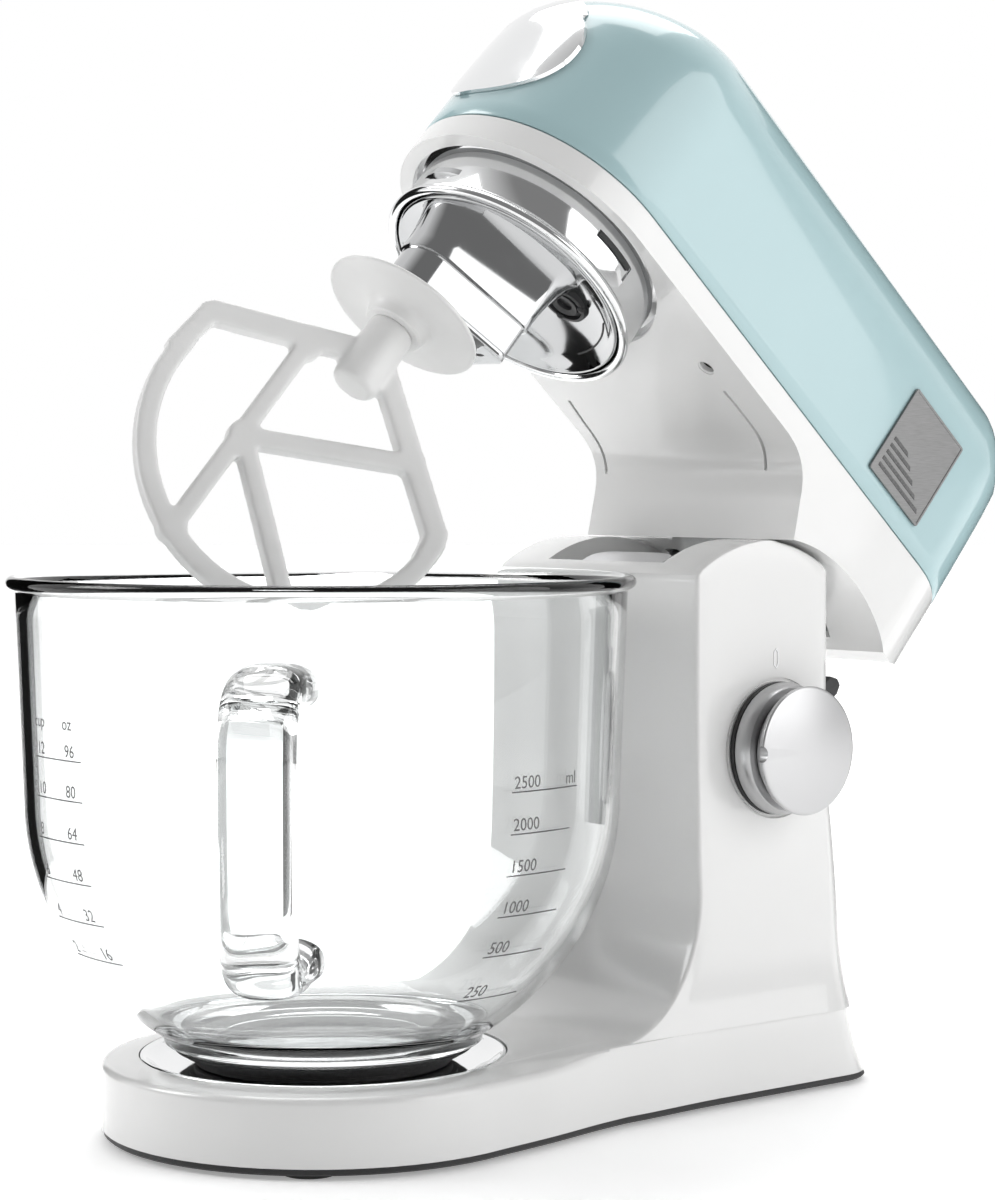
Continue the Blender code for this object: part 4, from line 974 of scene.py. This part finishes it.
NOSE_CHROME.relief(NOSE_CHROME.noise(NOSE_CHROME.place(), 90.0, 1.0), 0.00002, 0.3)
fit(nose_cover, "nose", "chrome", NOSE_CHROME, "nose_cover", angle=30, on_head=True)

# ------------------------------------------------------------ hub ring
# A deep chromed ring hangs under the head round the planetary hub. Its lower edge is rolled to a
# bead, and a shallow step is pressed into its right side under the head.
ring_line = ([(0.0497, 0.2420), (0.0497, 0.2168), (0.0500, 0.2162)]
             + arc((0.0515, 0.2174), 0.0019, 200, 395, 18)
             + flowing([(0.0530, 0.2188), (0.0520, 0.2196), (0.0516, 0.2206)], 6)
             + [(0.0516, 0.2300), (0.0516, 0.2392), (0.0560, 0.2402), (0.0560, 0.2420),
                (0.0497, 0.2420)])
hub_ring = lathe("hub_skirt", ring_line, steps=160)


def strip(inner, outer, turns):
    """A curved strip between two radii, over whole degrees."""
    near = [(inner * cos(radians(a)), inner * sin(radians(a))) for a in turns]
    return near + [(outer * cos(radians(a)), outer * sin(radians(a))) for a in turns[::-1]]


combine(hub_ring, "DIFFERENCE",
        slab("skirt_step", strip(0.0509, 0.0540, range(-12, 13, 2)), 0.2262, 0.2330))
SKIRT = Finish("skirt_chrome", (0.76, 0.765, 0.77), 0.10, Metallic=1.0)
skirt_where = SKIRT.place()
SKIRT.vary("Roughness", SKIRT.ramp(SKIRT.noise(skirt_where, 42.0, 4.0), (0.40, 0.07), (0.80, 0.14)))
SKIRT.relief(SKIRT.noise(skirt_where, 70.0, 1.0), 0.00002, 0.25)
fit(hub_ring, "head", "chrome", SKIRT, "hub_ring", angle=30, on_head=True)
latch = slab("skirt_latch", strip(0.0510, 0.0519, range(-11, 12, 2)), 0.2308, 0.2330)
fit(soften(latch, 0.0002, 1), "head", "black_plastic", BLACK, on_head=True)

# ------------------------------------------------------------ planetary hub
# A polished dish turns inside the ring and carries the tool's socket on an oblong boss set off
# the middle. A black plug closes its grease hole, and a locking mark is printed under the boss.
dish = lathe("planet_dish", [
    (0, 0.2262)] + flowing([(0.0060, 0.2261), (0.0200, 0.2252), (0.0330, 0.2226),
                            (0.0420, 0.2194), (0.0465, 0.2166)], 18)
    + arc((0.0477, 0.2172), 0.0011, 220, 380, 8)
    + [(0.0489, 0.2200), (0.0420, 0.2240), (0.0330, 0.2275), (0.0200, 0.2300), (0.0080, 0.2303),
       (0.0080, 0.2560), (0, 0.2560)], steps=144)
ORBIT = 0.029


def arm_ring(grow, z):
    """Outline of the arm under the dish: round at the tool, blunt at its other end."""
    ends = (((0.0, -0.0300), 0.0135, 163, 341), ((0.0212, 0.0010), 0.0036, -19, 90),
            ((0.0020, -0.0030), 0.0075, 91, 163))
    return [(x, y, z) for middle, radius, start, end in ends
            for x, y in arc(middle, radius + grow, start, end, 17)]


boss = skin("tool_arm", [arm_ring(grow, z) for grow, z in (
    (-0.0010, 0.1790), (-0.0003, 0.1792), (0.0, 0.1798), (0.0, 0.1808), (-0.0006, 0.1811),
    (-0.0006, 0.1816), (0.0, 0.1819), (0.0, 0.1948), (0.0003, 0.1953), (0.0011, 0.1956),
    (0.0012, 0.1964), (0.0010, 0.2010), (0.0014, 0.2060), (0.0022, 0.2110), (0.0034, 0.2160),
    (0.0050, 0.2200), (0.0070, 0.2230), (0.0095, 0.2250), (0.0095, 0.2275))])
combine(dish, "UNION", boss)
GROOVE_TURNS = range(38, 86, 3)
rim_marks = [slab("rim_mark", [(r * cos(radians(a)), r * sin(radians(a))) for r, a in corners],
                  0.2100, 0.2192) for corners in (
    [(0.0440, 70), (0.0475, 67), (0.0475, 70)], [(0.0435, 78), (0.0475, 74), (0.0475, 77)])]
combine(dish, "DIFFERENCE", *rim_marks,
        slab("oil_groove", strip(0.0416, 0.0408, GROOVE_TURNS), 0.2100, 0.2210),
        lathe("socket", [(0, 0.1700), (0.0078, 0.1700), (0.0078, 0.1800), (0.0070, 0.1806),
                         (0.0070, 0.2420), (0, 0.2420)], (0, -ORBIT, 0), steps=48))
DISH = Finish("dish_chrome", (0.50, 0.505, 0.51), 0.09, Metallic=1.0)
DISH.vary("Roughness", DISH.ramp(DISH.noise(DISH.place(), 46.0, 4.0), (0.40, 0.06), (0.80, 0.14)))
DISH.relief(DISH.noise(DISH.place(), 80.0, 1.0), 0.00002, 0.25)
fit(dish, "hub", "chrome", DISH, "planet_carrier", angle=28, on_head=True)

plug = lathe("plug", [
    (0, 0.2236), (0.0028, 0.2236), (0.0032, 0.2222), (0.0058, 0.2217), (0.0062, 0.2230),
    (0.0074, 0.2230), (0.0078, 0.2214), (0.0092, 0.2216), (0.0096, 0.2226), (0.0096, 0.2262),
    (0, 0.2262)], (0.0155, 0.0165, 0), steps=64)
lugs = []
for turn in (20, 140, 260):
    x, y = 0.0155 + 0.0082 * cos(radians(turn)), 0.0165 + 0.0082 * sin(radians(turn))
    lugs.append(lathe("lug", [(0, 0.2240)] + [(0.0016 * cos(t), 0.2216 - 0.0010 * sin(t))
                                              for t in (0.0, 0.5, 1.0, 1.5)] + [(0, 0.2206)],
                      (x, y, 0), steps=24))
fit(slab("groove_seal", strip(0.0415, 0.0409, GROOVE_TURNS), 0.2194, 0.2212), "hub",
    "black_plastic", BLACK, on_head=True)
fit(joined("grease_plug", [plug] + lugs), "hub", "black_plastic", BLACK, on_head=True)

bar = slab("lock_bar", [(0.0148, -0.0098), (0.0182, -0.0082), (0.0176, -0.0070),
                        (0.0142, -0.0086)], 0.1788, 0.1792)
crescent = arc((0.0158, -0.0082), 0.0078, 78, 152, 15) + arc((0.0150, -0.0070), 0.0056, 148, 82, 15)
fit(joined("lock_marks", [bar, slab("lock_crescent", crescent, 0.1788, 0.1792)]), "hub",
    "black_plastic", PRINT, on_head=True)

# ------------------------------------------------------------ beater
# Cast in one piece: a flat frame of rounded bars in a K under a tapered hub, sandblasted and
# coated pale grey. The voxel remesh melts the bars into each other as casting fillets.
COLLAR = 0.1730
BEATER_TURN = radians(-115.0)
K_BARS = [((0.0060, 0.0230), (0.0578, 0.0470), 0.0085), ((0.0578, 0.0470), (0.0600, 0.0680), 0.0078),
          ((-0.0060, 0.0230), (-0.0572, 0.0640), 0.0085),
          ((-0.0572, 0.0640), (-0.0585, 0.0740), 0.0080),
          ((0.0224, 0.0310), (0.0226, 0.1250), 0.0068),
          ((0.0212, 0.0788), (-0.0345, 0.0470), 0.0068),
          ((0.0212, 0.0788), (-0.0262, 0.1209), 0.0068)]
FILLETS = [((0.0576, 0.0475), 0.0045), ((-0.0568, 0.0636), 0.0046), ((0.0208, 0.0785), 0.0066),
           ((0.0224, 0.0340), 0.0060), ((-0.0340, 0.0465), 0.0056), ((0.0225, 0.1235), 0.0056),
           ((-0.0255, 0.1203), 0.0056)]
rim = arc((0, 0.0698), 0.0628, -4, 188, 72) + arc((0, 0.0698), 0.0550, 188, -4, 72)
frame_bars = [slab("rim", [(-x, COLLAR - drop) for x, drop in rim], -0.0038, 0.0038, "Y")]
for start, end, width in K_BARS:
    side = (Vector(end) - Vector(start)).orthogonal().normalized() * (width / 2 + 0.0002)
    corners = [Vector(start) + side, Vector(end) + side, Vector(end) - side, Vector(start) - side]
    frame_bars.append(slab("bar", [(x, COLLAR - drop) for x, drop in corners], -0.0038, 0.0038,
                           "Y"))
for (across, drop), radius in FILLETS:
    frame_bars.append(lathe("fillet", [(0, -0.0036), (radius, -0.0036), (radius, 0.0036),
                                       (0, 0.0036)], (across, 0, COLLAR - drop), "Y", 32))
frame_bars.append(lathe("beater_hub", [
    (0, COLLAR - 0.0362), (0.0074, COLLAR - 0.0362), (0.0088, COLLAR - 0.0350),
    (0.0096, COLLAR - 0.0300), (0.0096, COLLAR - 0.0200), (0.0090, COLLAR - 0.0072),
    (0, COLLAR - 0.0072)], steps=48))
beater = joined("k_frame", frame_bars)
melt = beater.modifiers.new("remesh", "REMESH")
melt.mode = "VOXEL"
melt.voxel_size = 0.00085
bpy.ops.object.modifier_apply(modifier=melt.name)
ease = beater.modifiers.new("smooth", "SMOOTH")
ease.factor = 0.5
ease.iterations = 9
bpy.ops.object.modifier_apply(modifier=ease.name)
spindle_place = Matrix.Translation((0, -ORBIT, 0)) @ Matrix.Rotation(BEATER_TURN, 4, "Z")
beater.data.transform(spindle_place)
COATED = Finish("coated_casting", (0.80, 0.80, 0.795), 0.42, Coat_Weight=0.25, Coat_Roughness=0.3)
coated_where = COATED.place()
coated_cloud = COATED.noise(coated_where, 30.0, 3.0)
COATED.vary("Base Color", COATED.ramp(coated_cloud, (0.30, (0.77, 0.77, 0.765)),
                                      (0.70, (0.83, 0.83, 0.825))))
COATED.vary("Roughness", 0.36 + coated_cloud * 0.14)
COATED.relief(COATED.noise(coated_where, 650.0, 2.0), 0.00006, 0.5)
fit(beater, "beater", "coated_beater", COATED, "k_beater", angle=75, on_head=True)

# The collar is a thin dished disc over the beater's hub that keeps flour off the hub above it.
collar = lathe("splash_collar", [
    (0.0070, 0.1656), (0.0114, 0.1656), (0.0121, 0.1662)]
    + flowing([(0.0124, 0.1680), (0.0132, 0.1704), (0.0160, 0.1716), (0.0230, 0.1722),
               (0.0300, 0.1725)], 18)
    + arc((0.0310, 0.1733), 0.0008, -70, 90, 8)
    + [(0.0160, 0.1742), (0.0070, 0.1742), (0.0070, 0.1656)], (0, -ORBIT, 0), steps=128)
fit(collar, "beater", "coated_beater", COATED, "beater_collar", angle=30, on_head=True)

# ------------------------------------------------------------ hinge, motor and transmission
# The working parts keep their own shapes inside the casings. Shafts and springs are ground steel,
# frames and boxes sand-cast aluminium, bushes and worm wheel bronze, gears white acetal.
STEEL = Finish("ground_steel", (0.58, 0.58, 0.60), 0.28, Metallic=1.0)
steel_grain = STEEL.noise(STEEL.place(scale=(40, 40, 1)), 60.0, 3.0)
STEEL.vary("Roughness", 0.20 + steel_grain * 0.18)
STEEL.vary("Base Color", STEEL.ramp(steel_grain, (0.3, (0.54, 0.54, 0.56)), (0.7, (0.64, 0.64, 0.66))))
CAST = Finish("cast_aluminium", (0.48, 0.49, 0.50), 0.5, Metallic=1.0)
cast_grain = CAST.noise(CAST.place(), 520.0, 4.0)
CAST.vary("Roughness", 0.42 + cast_grain * 0.24)
CAST.relief(cast_grain, 0.00012, 0.6)
BRONZE = Finish("bronze", (0.52, 0.35, 0.17), 0.36, Metallic=1.0)
bronze_cloud = BRONZE.noise(BRONZE.place(), 90.0, 4.0)
BRONZE.vary("Base Color", BRONZE.ramp(bronze_cloud, (0.3, (0.44, 0.28, 0.12)),
                                      (0.7, (0.60, 0.42, 0.22))))
BRONZE.vary("Roughness", 0.26 + bronze_cloud * 0.2)
COPPER = Finish("enamelled_copper", (0.55, 0.24, 0.11), 0.32, Metallic=1.0)
copper_axes = COPPER.place()
copper_wires = (COPPER.node("ShaderNodeSeparateXYZ", {}, {"Vector": copper_axes}, "X") * 9000).wave()
COPPER.vary("Roughness", 0.30 + copper_wires * 0.08)
COPPER.relief(copper_wires, 0.0002, 0.6)
BOARD = Finish("circuit_board", (0.03, 0.16, 0.07), 0.45)
board_axes = BOARD.place()
board_x = BOARD.node("ShaderNodeSeparateXYZ", {}, {"Vector": board_axes}, "X")
board_z = BOARD.node("ShaderNodeSeparateXYZ", {}, {"Vector": board_axes}, "Z")
tracks = ((board_x * 1500).wave() > 0.86) * ((board_z * 210).wave() > -0.2)
BOARD.vary("Base Color", BOARD.ramp(tracks, (0.0, (0.025, 0.15, 0.065)), (1.0, (0.07, 0.30, 0.14))))
BOARD.vary("Roughness", 0.48 - tracks * 0.18)
ACETAL = Finish("white_acetal", (0.80, 0.79, 0.74), 0.36)
acetal_cloud = ACETAL.noise(ACETAL.place(), 45.0, 3.0)
ACETAL.vary("Base Color", ACETAL.ramp(acetal_cloud, (0.3, (0.74, 0.73, 0.66)),
                                      (0.7, (0.84, 0.83, 0.78))))
ACETAL.vary("Roughness", 0.30 + acetal_cloud * 0.16)
WORKS = {
    STEEL: ("hinge_pin", "lever_spring", "main_shaft", "bevel_gear", "tool_spindle", "worm_shaft",
            "motor_rotor", "motor_bearing_front", "motor_bearing_rear", "outlet_shaft"),
    CAST: ("head_chassis", "gearbox_case", "motor_bracket_front", "motor_bracket_rear"),
    BRONZE: ("hinge_bush_left", "hinge_bush_right", "worm_wheel", "outlet_bearing"),
    COPPER: ("motor_stator",), BOARD: ("control_board",), ACETAL: ("ring_gear", "planet_gear"),
    BLACK: ("board_capacitor", "speed_control", "driven_pulley", "motor_pulley", "motor_fan"),
    RUBBER: ("drive_belt",)}
for finish, nodes in WORKS.items():
    for node in nodes:
        for place in frame["nodes"][node].material_slots:
            place.material = finish.material
